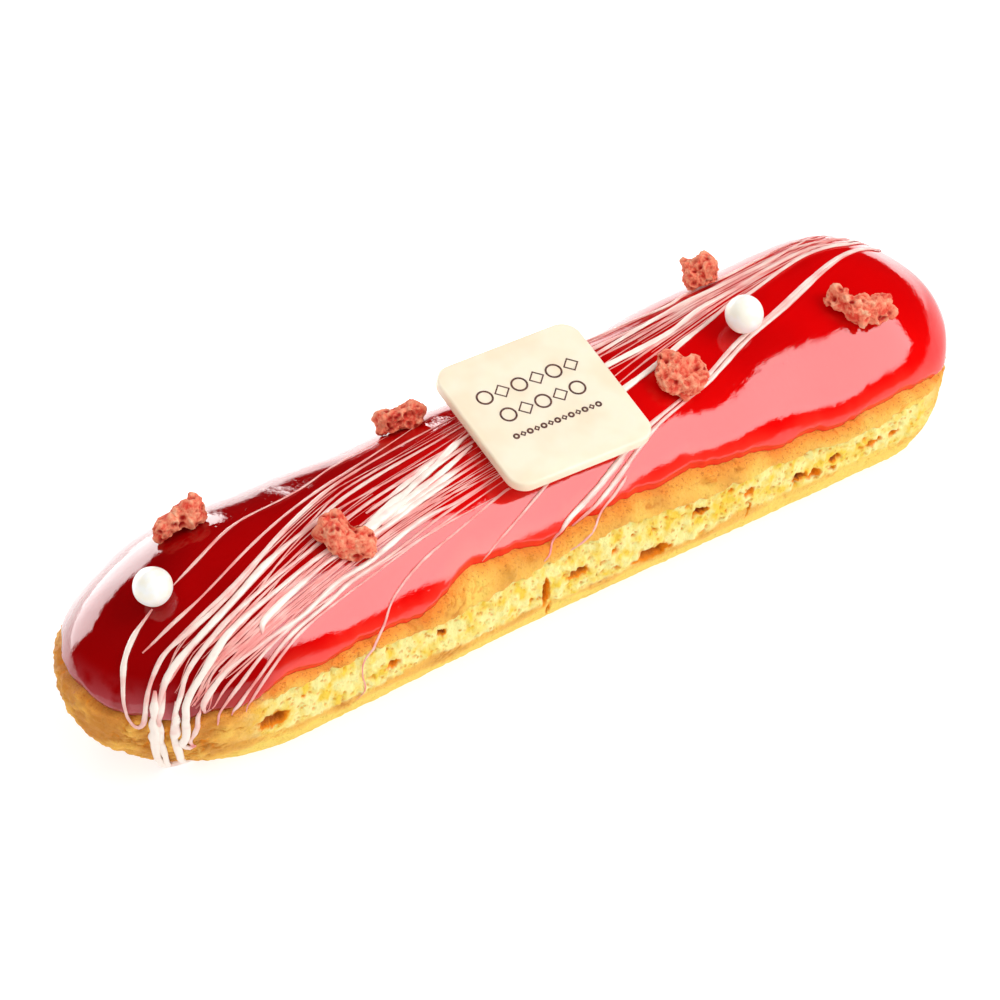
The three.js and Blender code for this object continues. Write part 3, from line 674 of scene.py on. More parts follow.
# The bold threads, as [x, lean] guides with a width. The plaque and the fruit lie over them.
THREADS = (
    (0.5, [[-60, 13], [-55, 8], [-46, -2], [-35, -8], [-27, -19], [-16, -31]]),
    (0.55, [[-68, 41], [-63.5, 34], [-58, 28], [-50.5, 19], [-39, 5], [-26, -8], [-9, -28]]),
    (0.85, [[-64, 18], [-67.6, 26], [-70, 38], [-71.3, 53], [-72.3, 74], [-72.1, 91], [-71.4, 97],
            [-70.7, 92], [-70.1, 76], [-68.6, 61], [-65.8, 48], [-61.6, 42], [-57, 37], [-51, 29],
            [-40, 12], [-29.5, -1], [-19, -12]]),
    (0.7, [[-68.6, 61], [-66, 48], [-60, 38], [-52, 29], [-40, 12], [-29.5, -1], [-17, -12], [-6, -15]]),
    (1.0, [[-69, 103], [-69, 83], [-67.6, 67], [-65.5, 57], [-61.5, 48], [-52, 34], [-46, 26],
           [-38.7, 19], [-30, 10], [-20, 2], [-7, -4]]),
    (0.8, [[-67.3, 106], [-67.4, 88], [-66, 74], [-63.6, 60], [-57, 46], [-48.5, 37], [-41, 31],
           [-30, 21], [-20, 13], [-7, 3]]),
    (1.1, [[-66, 102], [-66, 87], [-65.5, 78], [-63, 67], [-57, 51], [-48, 42], [-39, 35], [-30.7, 32],
           [-25, 26], [-16.5, 15], [-7, 9]]),
    (1.0, [[-53, 58], [-51.5, 52], [-44, 44], [-38, 39], [-29, 36], [-19.5, 29], [-7, 22]]),
    (0.9, [[-63.6, 87], [-63.6, 81], [-61.5, 73], [-58.7, 67], [-52, 61], [-46, 58], [-39.6, 51],
           [-33, 48], [-23, 40], [-16, 39], [-7, 34]]),
    (0.7, [[-60, 92], [-59, 86], [-56, 77], [-50, 65], [-42, 58], [-37, 53], [-29, 49], [-19, 42],
           [-8, 36]]),
    (0.6, [[-62, 96], [-61.6, 88], [-59, 78], [-53.5, 66], [-45, 57], [-36, 50], [-26, 43], [-8, 35]]),
    (0.5, [[-58, 92], [-57, 85], [-54, 76], [-48.5, 66], [-41, 59.5], [-31, 53], [-18, 45], [-8, 39]]),
    (1.5, [[-34, 36], [-31.2, 33.4], [-26.4, 29], [-21.4, 25], [-16, 20], [-9, 12]]),
    (1.25, [[-31, 31], [-27, 27], [-23.5, 23], [-18, 17], [-12, 8], [-7, 3]]),
    (1.1, [[-29, 34], [-23, 29], [-17, 24.5], [-9, 20]]),
    (0.9, [[-30, 25], [-24, 20], [-17, 12], [-8, 1]]),
    (0.7, [[16, -36], [20, -37], [26, -33], [33, -25], [38, -28], [43.5, -26], [50.6, -27], [56.7, -27],
           [60.5, -20], [64, -30]]),
    (0.8, [[14, -8], [17, -10], [25.6, -16], [34.7, -19], [40, -18], [47.7, -20], [55, -20], [61, -14],
           [66, -22]]),
    (0.9, [[14, 4], [16.4, 3], [28, 0], [35, -6], [41, -8], [47.5, -12], [55.4, -13], [62, -8],
           [68, -22]]),
    (0.9, [[13, 23], [16, 21], [23.7, 15], [28.6, 10], [35, 5], [39, 1], [43, 0], [54, -8], [62.7, -6],
           [69, -20]]),
    (0.85, [[-3.3, 76], [-1, 71], [3.7, 64], [13.5, 48], [22, 40], [27, 36], [36, 24], [43.4, 18],
            [53.5, 8], [62, 2], [68, -5], [71, -20]]),
    (0.8, [[-0.5, 77], [6, 66], [15.5, 49], [23.5, 41], [29, 36], [37.6, 25], [45, 18.5], [55, 8.5],
           [63.5, 1], [69.5, -12]]),
    (0.45, [[-8, 44], [-9.5, 45], [-17.4, 52], [-25.7, 59], [-32, 68], [-35, 78], [-38.6, 89], [-39, 99],
            [-38.3, 109], [-39.7, 114]]),
    (0.45, [[-1, 49], [-2, 50], [-8.6, 60], [-13, 66], [-15.4, 70], [-16.3, 73]]),
    (0.6, [[11, 53], [9.7, 55], [5.6, 62], [0.9, 69], [-3.2, 76], [-5, 81], [-7, 85]]),
    (0.55, [[9.5, 63], [8.2, 66], [4.5, 74], [1, 82], [-3, 89]]),
)
# The drips that run down the left end, as [x, lean] guides and then the free points, as [x, y, z], where they
# hang to the board and meet in a pool.
DRIPS = (
    (1.3, [[-68.7, 68], [-69.4, 80], [-69.7, 91], [-69.7, 101], [-69.3, 113]],
     [[-68.7, -10.8, 5], [-67.5, -9.9, 2.6], [-66.3, -8.8, 0.9], [-65, -9, 0.7], [-63.6, -9.3, 0.8],
      [-62.2, -9.6, 1], [-61.4, -9.8, 2], [-62.4, -10.4, 2.8]]),
    (1.1, [[-67.6, 69], [-68.9, 85], [-69, 95], [-68.9, 106], [-68.4, 114]],
     [[-67.9, -11.6, 5.2], [-66.9, -10.4, 2.6], [-65.9, -9.2, 0.9], [-64.6, -8.9, 0.7]]),
    (1.2, [[-66.8, 77], [-67.1, 85], [-67.2, 94], [-67.3, 104], [-66.9, 111]],
     [[-66.2, -12.6, 5.4], [-65, -11.2, 2.8], [-63.6, -10.4, 1.4], [-62.2, -10.2, 1.4]]),
    (1.1, [[-65.8, 78], [-66.1, 86], [-66.1, 99], [-66.3, 109], [-65.4, 113], [-64.6, 110]], []),
    (0.7, [[-63.9, 82], [-64.5, 90], [-65, 101], [-65.3, 107], [-64.8, 111]], []),
)
# Sets of fine threads between two guides: how many, their least and greatest widths, and their seed.
FANS = (
    (28, 0.15, 0.42, 4,
     [[-68.6, 62], [-64, 45], [-56, 33], [-40, 10], [-29, -2], [-7, -17]],
     [[-63.4, 88], [-60, 71], [-52, 60], [-40, 51], [-24, 41], [-7, 35]]),
    (14, 0.2, 0.5, 15,
     [[-66.5, 76], [-62, 58], [-54, 44], [-42, 30], [-28, 18], [-7, 3]],
     [[-64.5, 84], [-60, 70], [-52, 58], [-40, 48], [-26, 37], [-7, 27]]),
    (15, 0.2, 0.75, 6,
     [[12, -36], [22, -35], [34, -27], [46, -27], [57, -27], [64, -34]],
     [[12, 22], [24, 12], [36, 2], [47, -5], [58, -10], [68, -20]]),
    (6, 0.2, 0.4, 9,
     [[12, -10], [24, -14], [36, -18], [48, -20], [60, -18], [66, -24]],
     [[12, 14], [24, 7], [36, 0], [48, -5], [60, -8], [69, -18]]),
)
# How far a thread's middle stands off what it lies on: a share of its width, and a clearance on top.
THREAD_LIFT, THREAD_CLEAR = 0.16, 0.03
THREAD_TAPER = 1.02, 0.58  # its width where it ends low on the side, and up at the plaque
DRIP_TAPER = 0.85, 1.1
THREAD_PLAY = ((0.2, 9, 1), (0.12, 23, 2))  # how its width plays: strength, turns and shift
TIP_WIDTH, TIP_GROWTH = 0.3, 0.11  # the share of its width at its tip, and what each step adds
STEPS_A_GUIDE, STEPS_A_FALL, LEAST_STEPS = 6, 5, 8
BRIDGING = 8  # how readily a thread spans a hollow
FAN_DRIFT = 0.05  # how far a fan's threads stray from one guide point to the next

grounds = [BVHTree.FromObject(piece, bpy.context.evaluated_depsgraph_get()) for piece in (bun, glaze)]


def landed(x, lean, lift):
    """Where icing lands at places along the bun and leans: on the first surface met from outside, with small
    hollows spanned."""
    angle = np.radians(lean)
    way = np.stack([0 * angle, -np.sin(angle), np.cos(angle)], -1)
    middle = np.stack([x, 0 * angle, BELLY + 0 * angle], -1)
    reach = np.zeros(len(x))
    for k, (start, line) in enumerate(zip(middle + way * WIDTH, way)):
        hits = [ground.ray_cast(Vector(start * MM), Vector(-line))[3] for ground in grounds]
        reach[k] = WIDTH - min([hit / MM for hit in hits if hit is not None], default=WIDTH / 2)
    for _ in range(BRIDGING):
        reach[1:-1] = np.maximum(reach[1:-1], (reach[:-2] + reach[2:]) / 2)
    return middle + way * (reach + lift)[:, None]


def thread(seed, width, points, taper, falls):
    """A thread's line on the glaze: its points, its outward directions and its widths."""
    steps = max(LEAST_STEPS, STEPS_A_GUIDE * len(points))
    x, lean = flowing(points, steps).T
    ups = surface_normal(x, lean)
    share = np.linspace(0, 1, steps)
    play = 1 + waving(share, *[(strength, turns, shift * seed) for strength, turns, shift in THREAD_PLAY])
    wide = width * play * lerp(*taper, share)
    line = landed(x, lean, THREAD_LIFT * wide + THREAD_CLEAR)
    if falls:
        free = flowing([line[-3], *falls], STEPS_A_FALL * len(falls))[1:]
        line = np.concatenate([line[:-2], free])
        ups = np.concatenate([ups[:-2], np.broadcast_to(ups[-3], free.shape)])
        wide = np.concatenate([wide[:-2], np.full(len(free), wide[-3])])
    ends = np.minimum(np.arange(len(wide)), np.arange(len(wide))[::-1])
    return line, ups, wide * np.clip(TIP_WIDTH + TIP_GROWTH * ends, 0, 1)


def fan(count, least, most, seed, first, last):
    """The fine threads of one fan, spread between its guides with some play."""
    draw = np.random.default_rng(seed)
    for _ in range(count):
        drift = draw.uniform(0, 1) + np.cumsum(draw.normal(0, FAN_DRIFT, len(first)))
        points = [lerp(np.array(a), np.array(b), share) for a, b, share in zip(first, last, drift)]
        start, end = draw.choice(2), draw.choice(2)
        yield least + (most - least) * draw.random() ** 2, points[start:len(points) - end]


runs = [(width, guide, THREAD_TAPER, ()) for width, guide in THREADS]
runs.extend((width, guide, DRIP_TAPER, falls) for width, guide, falls in DRIPS)
for spread in FANS:
    runs.extend((width, guide, THREAD_TAPER, ()) for width, guide in fan(*spread))

# A wire mesh carries the lines, with their widths and outward directions on its points.
threads = [thread(seed, *run) for seed, run in enumerate(runs)]
points, ups, widths = (np.concatenate(part) for part in zip(*threads))
starts = set(np.cumsum([len(line) for line, _, _ in threads]).tolist())
wire = bpy.data.meshes.new("thread_lines")
wire.from_pydata((points * MM).tolist(), [(k - 1, k) for k in range(1, len(points)) if k not in starts], [])
mark(wire, "width", widths)
mark(wire, "up", ups, "FLOAT_VECTOR", "vector")


def tree(name, **inputs):
    """A geometry tree with named inputs, and its recipe."""
    nodes = bpy.data.node_groups.new(name, "GeometryNodeTree")
    nodes.interface.new_socket("Geometry", in_out="INPUT", socket_type="NodeSocketGeometry")
    for key, kind in inputs.items():
        nodes.interface.new_socket(key, in_out="INPUT", socket_type="NodeSocket" + kind)
    nodes.interface.new_socket("Geometry", in_out="OUTPUT", socket_type="NodeSocketGeometry")
    recipe = Recipe(nodes)
    entry = nodes.nodes.new("NodeGroupInput")
    return recipe, entry.outputs


def close_tree(recipe, shape, material):
    """The tree's end: instances made real, shaded smooth, with their material."""
    shape = recipe.add("GeometryNodeRealizeInstances", {0: shape})
    shape = recipe.add("GeometryNodeSetShadeSmooth", {"Geometry": shape})
    shape = recipe.add("GeometryNodeSetMaterial", {"Geometry": shape, "Material": material})
    recipe.add("NodeGroupOutput", {0: shape})


def grown(name, carrier, recipe, **values):
    """What a tree makes of a carrier, as a plain mesh object. The carrier is used up."""
    modifier = carrier.modifiers.new("tree", "NODES")
    modifier.node_group = recipe.tree
    for socket in recipe.tree.interface.items_tree:
        if socket.in_out == "INPUT" and socket.name in values:
            modifier[socket.identifier] = values[socket.name]
    bpy.context.view_layer.update()
    result = carrier.evaluated_get(bpy.context.evaluated_depsgraph_get())
    mesh = bpy.data.meshes.new_from_object(result)
    bpy.data.objects.remove(carrier)
    mesh.name = name
    return place(mesh)


ICING_STEP, ICING_LUMP = 0.5, 3
ICING_WHITE, ICING_THIN = paint(255, 240, 228), paint(238, 145, 138)

icing = Finish("white_icing", Roughness=0.3, IOR=1.45)
solidity = icing.range(icing.sheet("width"), 0.3, 1.05)
patchy = icing.range(icing.noise(2.2, 2, (2, 1, 1)), 0.3, 0.6, -0.25, 0.25)
icing.colour(icing.mix(icing.math("ADD", solidity, patchy, True), ICING_THIN, ICING_WHITE))
icing.bump(icing.noise(0.7, 2), 0.06)

strands, entry = tree("icing_threads", Step="Float", Sides="Int", Flatness="Float", Play="Float")
curve = strands.add("GeometryNodeMeshToCurve", {0: entry["Geometry"]})
curve = strands.add("GeometryNodeResampleCurve", {"Curve": curve, "Length": entry["Step"]}, mode="LENGTH")
here = strands.add("GeometryNodeInputPosition")
curve = strands.store(curve, "centre", here, "FLOAT_VECTOR")
lumpy = strands.add("ShaderNodeTexNoise", {"Vector": here, "Scale": 1 / (ICING_LUMP * MM), "Detail": 2.0})
play = strands.times(strands.minus(lumpy, 0.5), entry["Play"])
radius = strands.times(strands.read("width"), strands.plus(play, 1.0))
radius = strands.times(radius, 0.5 * MM)
ring = strands.add("GeometryNodeCurvePrimitiveCircle", {"Resolution": entry["Sides"], "Radius": 1.0})
tube = {"Curve": curve, "Profile Curve": ring, "Scale": radius, "Fill Caps": True}
tube = strands.add("GeometryNodeCurveToMesh", tube)
out = strands.read("up", "FLOAT_VECTOR")
reach = strands.vector("SUBTRACT", here, strands.read("centre", "FLOAT_VECTOR"))
rise = strands.vector("DOT_PRODUCT", reach, out, 1)
press = strands.times(rise, strands.minus(entry["Flatness"], 1.0))
tube = strands.push(tube, out, press)
close_tree(strands, tube, icing.material)
drizzle = grown(
    "icing_drizzle", place(wire), strands, Step=ICING_STEP * MM, Sides=8, Flatness=0.5, Play=0.7
)

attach(drizzle, "root")
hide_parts("glaze")

# ============ the plaque
# A thin square of white chocolate with round corners, cast flat and laid on the glaze while it was soft.
# Its top carries a plain printed ornament in brown cocoa butter.

PLAQUE_SIDE, PLAQUE_THICK, PLAQUE_CORNER = 23.8, 1.8, 2.9
PLAQUE_YAW, PLAQUE_TILT = -3.9, 14.3
PLAQUE_BEVEL, PLAQUE_WARP, LEAST_SIDE = 0.35, 0.04, 0.04
PLAQUE_INSETS = (1, 0.75, 0.5, 0.25)  # the shares of its half side where the rows of its flat faces run
CORNER_STEPS, BEVEL_STEPS = 14, 5
QUARTER_TURN = np.array([[0, 1], [-1, 0]])

low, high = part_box("plaque")
plaque_pose = (
    Matrix.Translation((low + high) / 2 / MM)
    @ Matrix.Rotation(math.radians(PLAQUE_YAW), 4, "Z")
    @ Matrix.Rotation(math.radians(PLAQUE_TILT), 4, "X")
)


def posed(points, pose):
    """Points moved by a pose."""
    turn = np.array(pose.to_3x3())
    return points @ turn.T + np.array(pose.translation)


def rounded_square(side, corner, steps):
    """The outline of a square with round corners."""
    turns = np.linspace(0, QUARTER, steps)
    arcs = [side / 2 - corner + corner * np.stack([np.cos(turns), np.sin(turns)], -1)]
    for _ in range(3):
        arcs.append(arcs[-1] @ QUARTER_TURN)
    return np.concatenate(arcs)


bevel_turn = np.linspace(0, QUARTER, BEVEL_STEPS)
flat = [(PLAQUE_SIDE / 2 * share, PLAQUE_THICK / 2) for share in PLAQUE_INSETS]
bevel = [(PLAQUE_BEVEL * (1 - math.sin(t)), PLAQUE_THICK / 2 - PLAQUE_BEVEL * (1 - math.cos(t)))
         for t in bevel_turn]
half_profile = [*flat, *bevel]
rows = []
for shrink, level in [*half_profile, *[(s, -h) for s, h in reversed(half_profile)]]:
    side = max(PLAQUE_SIDE - 2 * shrink, LEAST_SIDE)
    corner = max(PLAQUE_CORNER - shrink, LEAST_SIDE / 2)
    outline = rounded_square(side, min(corner, side / 2), CORNER_STEPS)
    rows.append(np.column_stack([outline, level + 0 * outline[:, 0]]))
rows = np.array(rows)
rows[..., 2] += PLAQUE_WARP * ripple(rows, 9, 4.4)
plaque = solid("plaque", posed(rows, plaque_pose))

CHOCOLATE, CHOCOLATE_WARM = paint(252, 238, 214), paint(248, 230, 202)
chocolate = Finish(
    "white_chocolate", Roughness=0.36, IOR=1.45, Subsurface_Weight=0.3, Subsurface_Scale=1.5 * MM,
    Subsurface_Radius=(1.0, 0.8, 0.6),
)
chocolate.colour(chocolate.mix(chocolate.range(chocolate.noise(7, 2), 0.4, 0.6), CHOCOLATE, CHOCOLATE_WARM))
chocolate.bump(chocolate.plus(chocolate.noise(4, 2), chocolate.noise(0.5, 2)), 0.02)
plaque.data.materials.append(chocolate.material)

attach(plaque, "root")
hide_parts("plaque")

# The printed ornament: rows of small rings and diamonds, thin as ink.
PRINT_ROWS = (  # marks in the row, their pitch and radius, and the row's place
    (6, 2.9, 1.15, 4.4),
    (5, 2.9, 1.15, 0.3),
    (13, 1.15, 0.36, -3.6),
)
PRINT_LINE, PRINT_THICK = 0.3, 0.05
RING_SIDES, DIAMOND_SIDES = 28, 4
ROW_INPUTS = {"Marks": "Int", "Pitch": "Float", "Radius": "Float", "Height": "Float"}

ink = Finish("cocoa_ink", Roughness=0.5, Specular_IOR_Level=0.3)
ink.colour(ink.mix(ink.range(ink.noise(0.5, 2), 0.4, 0.6), paint(84, 48, 40), paint(112, 70, 56)))

inputs = {f"{key} {row}": kind for row in range(len(PRINT_ROWS)) for key, kind in ROW_INPUTS.items()}
printed, entry = tree("printed_rows", Line="Float", Thick="Float", **inputs)
shapes = printed.tree.nodes.new("GeometryNodeGeometryToInstance")
for sides in (DIAMOND_SIDES, RING_SIDES):
    shape = printed.add("GeometryNodeCurvePrimitiveCircle", {"Resolution": sides, "Radius": 1.0})
    printed.tree.links.new(shape, shapes.inputs[0])
parity = printed.math("MODULO", printed.add("GeometryNodeInputIndex"), 2.0)
marks = printed.tree.nodes.new("GeometryNodeJoinGeometry")
for row in range(len(PRINT_ROWS)):
    count, pitch, radius, height = (entry[f"{key} {row}"] for key in ROW_INPUTS)
    start = printed.times(printed.minus(count, 1.0), pitch)
    start = printed.times(start, -0.5)
    start = printed.add("ShaderNodeCombineXYZ", {0: start, 1: height})
    step = printed.add("ShaderNodeCombineXYZ", {0: pitch})
    spots = {"Count": count, "Start Location": start, "Offset": step}
    spots = printed.add("GeometryNodeMeshLine", spots)
    size = printed.add("ShaderNodeCombineXYZ", {0: radius, 1: radius, 2: radius})
    spread = {"Points": spots, "Instance": shapes.outputs[0], "Pick Instance": True, "Instance Index": parity}
    spread = printed.add("GeometryNodeInstanceOnPoints", {**spread, "Scale": size})
    printed.tree.links.new(spread, marks.inputs[0])
outline = printed.add("GeometryNodeRealizeInstances", {0: marks.outputs[0]})
blade = {"Width": entry["Line"], "Height": entry["Thick"]}
blade = printed.add("GeometryNodeCurvePrimitiveQuadrilateral", blade)
lines = printed.add("GeometryNodeCurveToMesh", {"Curve": outline, "Profile Curve": blade})
close_tree(printed, lines, ink.material)

sizes = {"Line": PRINT_LINE * MM, "Thick": PRINT_THICK * MM}
for row, (count, *lengths) in enumerate(PRINT_ROWS):
    values = [count, *(length * MM for length in lengths)]
    sizes |= {f"{key} {row}": value for key, value in zip(ROW_INPUTS, values)}
ornament = grown("printed_ornament", place(bpy.data.meshes.new("print_carrier")), printed, **sizes)
lifted = Matrix.Translation((0, 0, (PLAQUE_THICK / 2 + PRINT_THICK / 4) * MM))
metres = plaque_pose.copy()
metres.translation *= MM
ornament.data.transform(metres @ lifted)

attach(ornament, "root")
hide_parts("plaque")

# ============ the pearls
# Two sugar pearls, rolled in a drum until they were nearly round, with a soft shine. Each was pressed
# lightly into the warm glaze, which holds it.

PEARL_ROWS, PEARL_STEPS = 40, 64
PEARL_DENT, PEARL_LUMP = 0.035, 0.8  # how far a pearl is out of round, and in lumps how wide

PEARL_WHITE, PEARL_WARM = paint(255, 254, 248), paint(255, 249, 232)
sugar = Finish(
    "sugar_pearl", Roughness=0.33, IOR=1.45, Subsurface_Weight=0.35, Subsurface_Scale=1.2 * MM,
    Subsurface_Radius=(1.0, 0.85, 0.7),
)
sugar.colour(sugar.mix(sugar.range(sugar.noise(2.2, 2), 0.42, 0.62), PEARL_WHITE, PEARL_WARM))
sugar.bump(sugar.noise(0.6, 2), 0.03)

for number in (1, 2):
    low, high = (np.array(corner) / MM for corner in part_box(f"pearl_{number}"))
    radius = (high - low).max() / 2
    rise = np.linspace(-QUARTER, QUARTER, PEARL_ROWS)[:, None]
    turn = np.linspace(0, 4 * QUARTER, PEARL_STEPS, endpoint=False)[None]
    ball = np.stack([np.cos(rise) * np.cos(turn), np.cos(rise) * np.sin(turn), np.sin(rise) + 0 * turn], -1)
    ball = ball * (radius * (1 + PEARL_DENT * ripple(ball, PEARL_LUMP, 3.0 * number)))[..., None]
    pearl = solid(f"sugar_pearl_{number}", (low + high) / 2 + ball)
    pearl.data.materials.append(sugar.material)
    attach(pearl, "root")
    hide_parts(f"pearl_{number}")

# ============ the fruit
# Six broken pieces of freeze-dried berry, dropped on the glaze by hand. They are dry, porous and coral red,
# painted deep red in the sunk pores, a painted shade, and pale on the raised crags, a painted highlight.

FRUITS = 6
FRUIT_VOXEL, FRUIT_SOFTENING = 0.14, 2
FRUIT_WELD = 1e-6  # metres
BREAKS, BREAK_KEEP = 13, (0.8, 0.95)  # the broken faces of a piece, and how near its middle they run
PORE, PORE_DEPTH, VEIL = 1.2, 0.5, 2.4  # how wide and deep its pores are, and the patches that have them
CRAG_SIZE, CRAG_RISE = 1.2, 1.6
FACET_SIZE, FACET_RISE = 2.9, 1.5

FRUIT_SKIN, FRUIT_RIDGE_HIGHLIGHT, FRUIT_RED, FRUIT_PORE_SHADE = (
    paint(250, 146, 112), paint(255, 194, 156), paint(230, 76, 56), paint(184, 30, 20)
)
dried = Finish("freeze_dried_fruit", Roughness=0.85, Specular_IOR_Level=0.25)
pit, ridge = dried.sheet("pit"), dried.sheet("ridge")
# Colour follows the relief: red low down, coral higher, pale on the crags' tops as a painted highlight and
# deep red in the pores as a painted shade.
dried.colour(dried.coats(
    FRUIT_RED,
    (dried.range(ridge, 0.4, 0.53), FRUIT_SKIN),
    (dried.range(ridge, 0.54, 0.66), FRUIT_RIDGE_HIGHLIGHT),
    (dried.range(pit, 0.1, 0.7), FRUIT_PORE_SHADE),
))
dried.bump(dried.noise(0.3, 4), 0.2)

skin_inputs = {key: "Float" for key in ("Pore", "Depth", "Crag", "Facet", "Peaks", "Seed")}
porous, entry = tree("porous_skin", **skin_inputs)
here = porous.add("GeometryNodeInputPosition")
shift = porous.add("ShaderNodeCombineXYZ", {0: entry["Seed"], 1: entry["Seed"], 2: entry["Seed"]})
spot = porous.vector("ADD", here, shift)
crag = {"Vector": spot, "Scale": 1 / (CRAG_SIZE * MM), "Detail": 5.0, "Roughness": 0.68}
crag = porous.add("ShaderNodeTexNoise", crag)
cells = porous.add("ShaderNodeTexVoronoi", {"Vector": spot, "Scale": entry["Pore"]})
veil = porous.add("ShaderNodeTexNoise", {"Vector": spot, "Scale": 1 / (VEIL * MM), "Detail": 1.0})
hole = porous.times(porous.range(cells, 0.1, 0.5, 1.0, 0.0), porous.range(veil, 0.42, 0.55))
facets = porous.add("ShaderNodeTexVoronoi", {"Vector": spot, "Scale": entry["Facet"]})
shape = porous.store(entry["Geometry"], "pit", hole)
shape = porous.store(shape, "ridge", crag)
out = porous.times(porous.minus(crag, 0.5), entry["Crag"])
peaks = porous.times(porous.minus(0.42, facets), entry["Peaks"])
out = porous.plus(out, peaks)
out = porous.minus(out, porous.times(hole, entry["Depth"]))
shape = porous.push(shape, porous.add("GeometryNodeInputNormal"), out)
close_tree(porous, shape, dried.material)


def break_faces(work, seed):
    """Flat broken faces cut across the outside of a fruit's mesh, never from below."""
    draw = np.random.default_rng(seed)
    for _ in range(BREAKS):
        points = np.array([point.co for point in work.verts])
        middle = (points.min(0) + points.max(0)) / 2
        way = draw.normal(size=3)
        way /= np.linalg.norm(way)
        way[2] = abs(way[2])
        reach = ((points - middle) @ way).max() * draw.uniform(*BREAK_KEEP)
        everything = [*work.verts, *work.edges, *work.faces]
        cut = bmesh.ops.bisect_plane(
            work, geom=everything, plane_co=middle + way * reach, plane_no=way, clear_outer=True
        )
        rim = [part for part in cut["geom_cut"] if isinstance(part, bmesh.types.BMEdge)]
        bmesh.ops.contextual_create(work, geom=rim)


for number in range(1, FRUITS + 1):
    name = f"fruit_{number}"
    mesh = bpy.data.meshes.new(f"{name}_core")
    work = bmesh.new()
    work.from_mesh(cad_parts[name].data)
    bmesh.ops.remove_doubles(work, verts=work.verts, dist=FRUIT_WELD)
    break_faces(work, number)
    work.to_mesh(mesh)
    work.free()
    core = place(mesh)
    remesh = core.modifiers.new("remesh", "REMESH")
    remesh.mode = "VOXEL"
    remesh.voxel_size = FRUIT_VOXEL * MM
    soften = core.modifiers.new("soften", "SMOOTH")
    soften.iterations = FRUIT_SOFTENING
    piece = grown(
        f"dried_{name}", core, porous, Pore=1 / (PORE * MM), Depth=PORE_DEPTH * MM, Crag=CRAG_RISE * MM,
        Facet=1 / (FACET_SIZE * MM), Peaks=FACET_RISE * MM, Seed=0.1 * number
    )
    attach(piece, "root")
    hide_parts(name)

# ============ the stage
# A smooth white board that glows by its own emission, brightest behind the bun, where the brighter glow is a
# painted light that shows in the glaze. Two bright panels, at the front right and behind, show in the glaze.
# A ceiling, a key lamp and a fill lamp light everything evenly.

BOARD_HALF = 4000.0
BOARD_GREY = (0.3, 0.3, 0.3, 1)
GLOW_FROM, GLOW_TO = 22, 60  # how far behind the bun's middle the board's glow grows
GLOW, GLOW_BEHIND = 0.8, 2.1
HORIZON, SKY = (-0.01, 0.02), 0.02  # the sky is white up to the horizon, and nearly dark above it

corners = [(a * BOARD_HALF * MM, b * BOARD_HALF * MM, 0) for a, b in ((-1, -1), (1, -1), (1, 1), (-1, 1))]
slab = bpy.data.meshes.new("board")
slab.from_pydata(corners, [], [range(4)])
floor = place(slab)
board = Finish(
    "white_board", Roughness=0.42, Specular_IOR_Level=0.5, Base_Color=BOARD_GREY, Emission_Color=(1, 1, 1, 1)
)
# The board's emission is a painted light: even in front, and growing to GLOW_BEHIND behind the bun so that it
# shows in the glaze.
behind = board.add("ShaderNodeSeparateXYZ", {0: board.place}, 1)
glow = board.range(behind, GLOW_FROM * MM, GLOW_TO * MM, GLOW, GLOW_BEHIND)
board.tree.links.new(glow, board.surface.inputs["Emission Strength"])
floor.data.materials.append(board.material)
floor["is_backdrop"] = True


def heading(azimuth, elevation):
    """The direction to something seen from the bun: azimuth 0 is straight in front, 90 to the right."""
    a, e = math.radians(azimuth), math.radians(elevation)
    return Vector((math.sin(a) * math.cos(e), -math.cos(a) * math.cos(e), math.sin(e)))


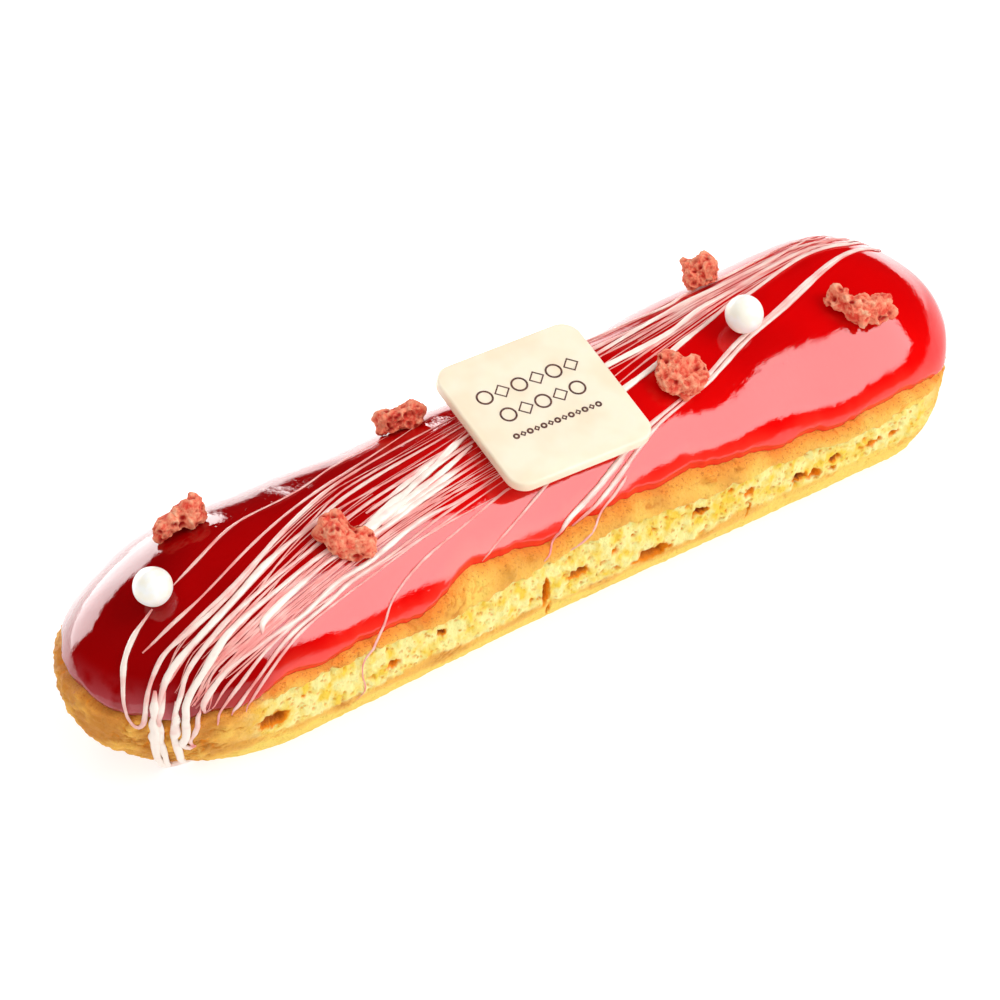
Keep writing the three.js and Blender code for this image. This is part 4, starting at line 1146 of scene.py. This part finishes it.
def soft_box(name, azimuth, elevation, wide, high, far, radiance):
    """A rectangular light that faces the bun, `wide` and `high` degrees across as seen from it."""
    data = bpy.data.lights.new(name, "AREA")
    data.shape = "RECTANGLE"
    data.size = 2 * far * MM * math.tan(math.radians(wide / 2))
    data.size_y = 2 * far * MM * math.tan(math.radians(high / 2))
    data.energy = radiance * math.pi * data.size * data.size_y
    lamp = bpy.data.objects.new(name, data)
    bpy.context.collection.objects.link(lamp)
    way = heading(azimuth, elevation)
    lamp.location = way * far * MM
    lamp.rotation_mode = "QUATERNION"
    lamp.rotation_quaternion = way.to_track_quat("Z", "Y")
    return lamp


# The panels show only in what shines, and the lamps light only what is matt.
front_panel = soft_box("front_panel", 37, 33.5, 44, 35, 900, 7.2)
back_panel = soft_box("back_panel", 185, 14, 60, 28, 900, 7.6)
for panel in (front_panel, back_panel):
    panel.visible_diffuse = False
ceiling = soft_box("ceiling", 0, 90, 100, 100, 1500, 1.13)
key = soft_box("key", 45, 35, 30, 30, 1200, 5.2)
fill = soft_box("fill", -50, 20, 40, 30, 1200, 1.6)
for lamp in (ceiling, key, fill):
    lamp.visible_glossy = False

world = bpy.data.worlds.new("studio")
bpy.context.scene.world = world
world.use_nodes = True
sky = Recipe(world.node_tree)
up = sky.add("ShaderNodeSeparateXYZ", {0: sky.add("ShaderNodeTexCoord")}, 2)
haze = sky.range(up, *HORIZON, 1.0, SKY)
world.node_tree.links.new(haze, world.node_tree.nodes["Background"].inputs["Color"])

bpy.context.scene.view_settings.view_transform = "Standard"

# the photograph's view
VIEW_AZIMUTH, VIEW_ELEVATION, VIEW_DISTANCE = -36.68, 38, 900
VIEW_TARGET = Vector((0, 0, 15))
PIXELS_PER_MM = 7.0  # at the target
IMAGE = 1000
TARGET_PIXEL = (510.7, 477)
SENSOR = 36

camera_data = bpy.data.cameras.new("camera")
camera_data.sensor_width = SENSOR
camera_data.lens = SENSOR * VIEW_DISTANCE * PIXELS_PER_MM / IMAGE
camera_data.shift_x = 0.5 - TARGET_PIXEL[0] / IMAGE
camera_data.shift_y = TARGET_PIXEL[1] / IMAGE - 0.5
camera_data.clip_end = 20
camera = bpy.data.objects.new("camera", camera_data)
bpy.context.collection.objects.link(camera)
to_camera = heading(VIEW_AZIMUTH, VIEW_ELEVATION)
camera.location = (VIEW_TARGET + to_camera * VIEW_DISTANCE) * MM
camera.rotation_mode = "QUATERNION"
camera.rotation_quaternion = to_camera.to_track_quat("Z", "Y")
bpy.context.scene.camera = camera

sizes = {"cad": [list(corner) for corner in CAD_BOX], "visual": [list(corner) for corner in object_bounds()]}
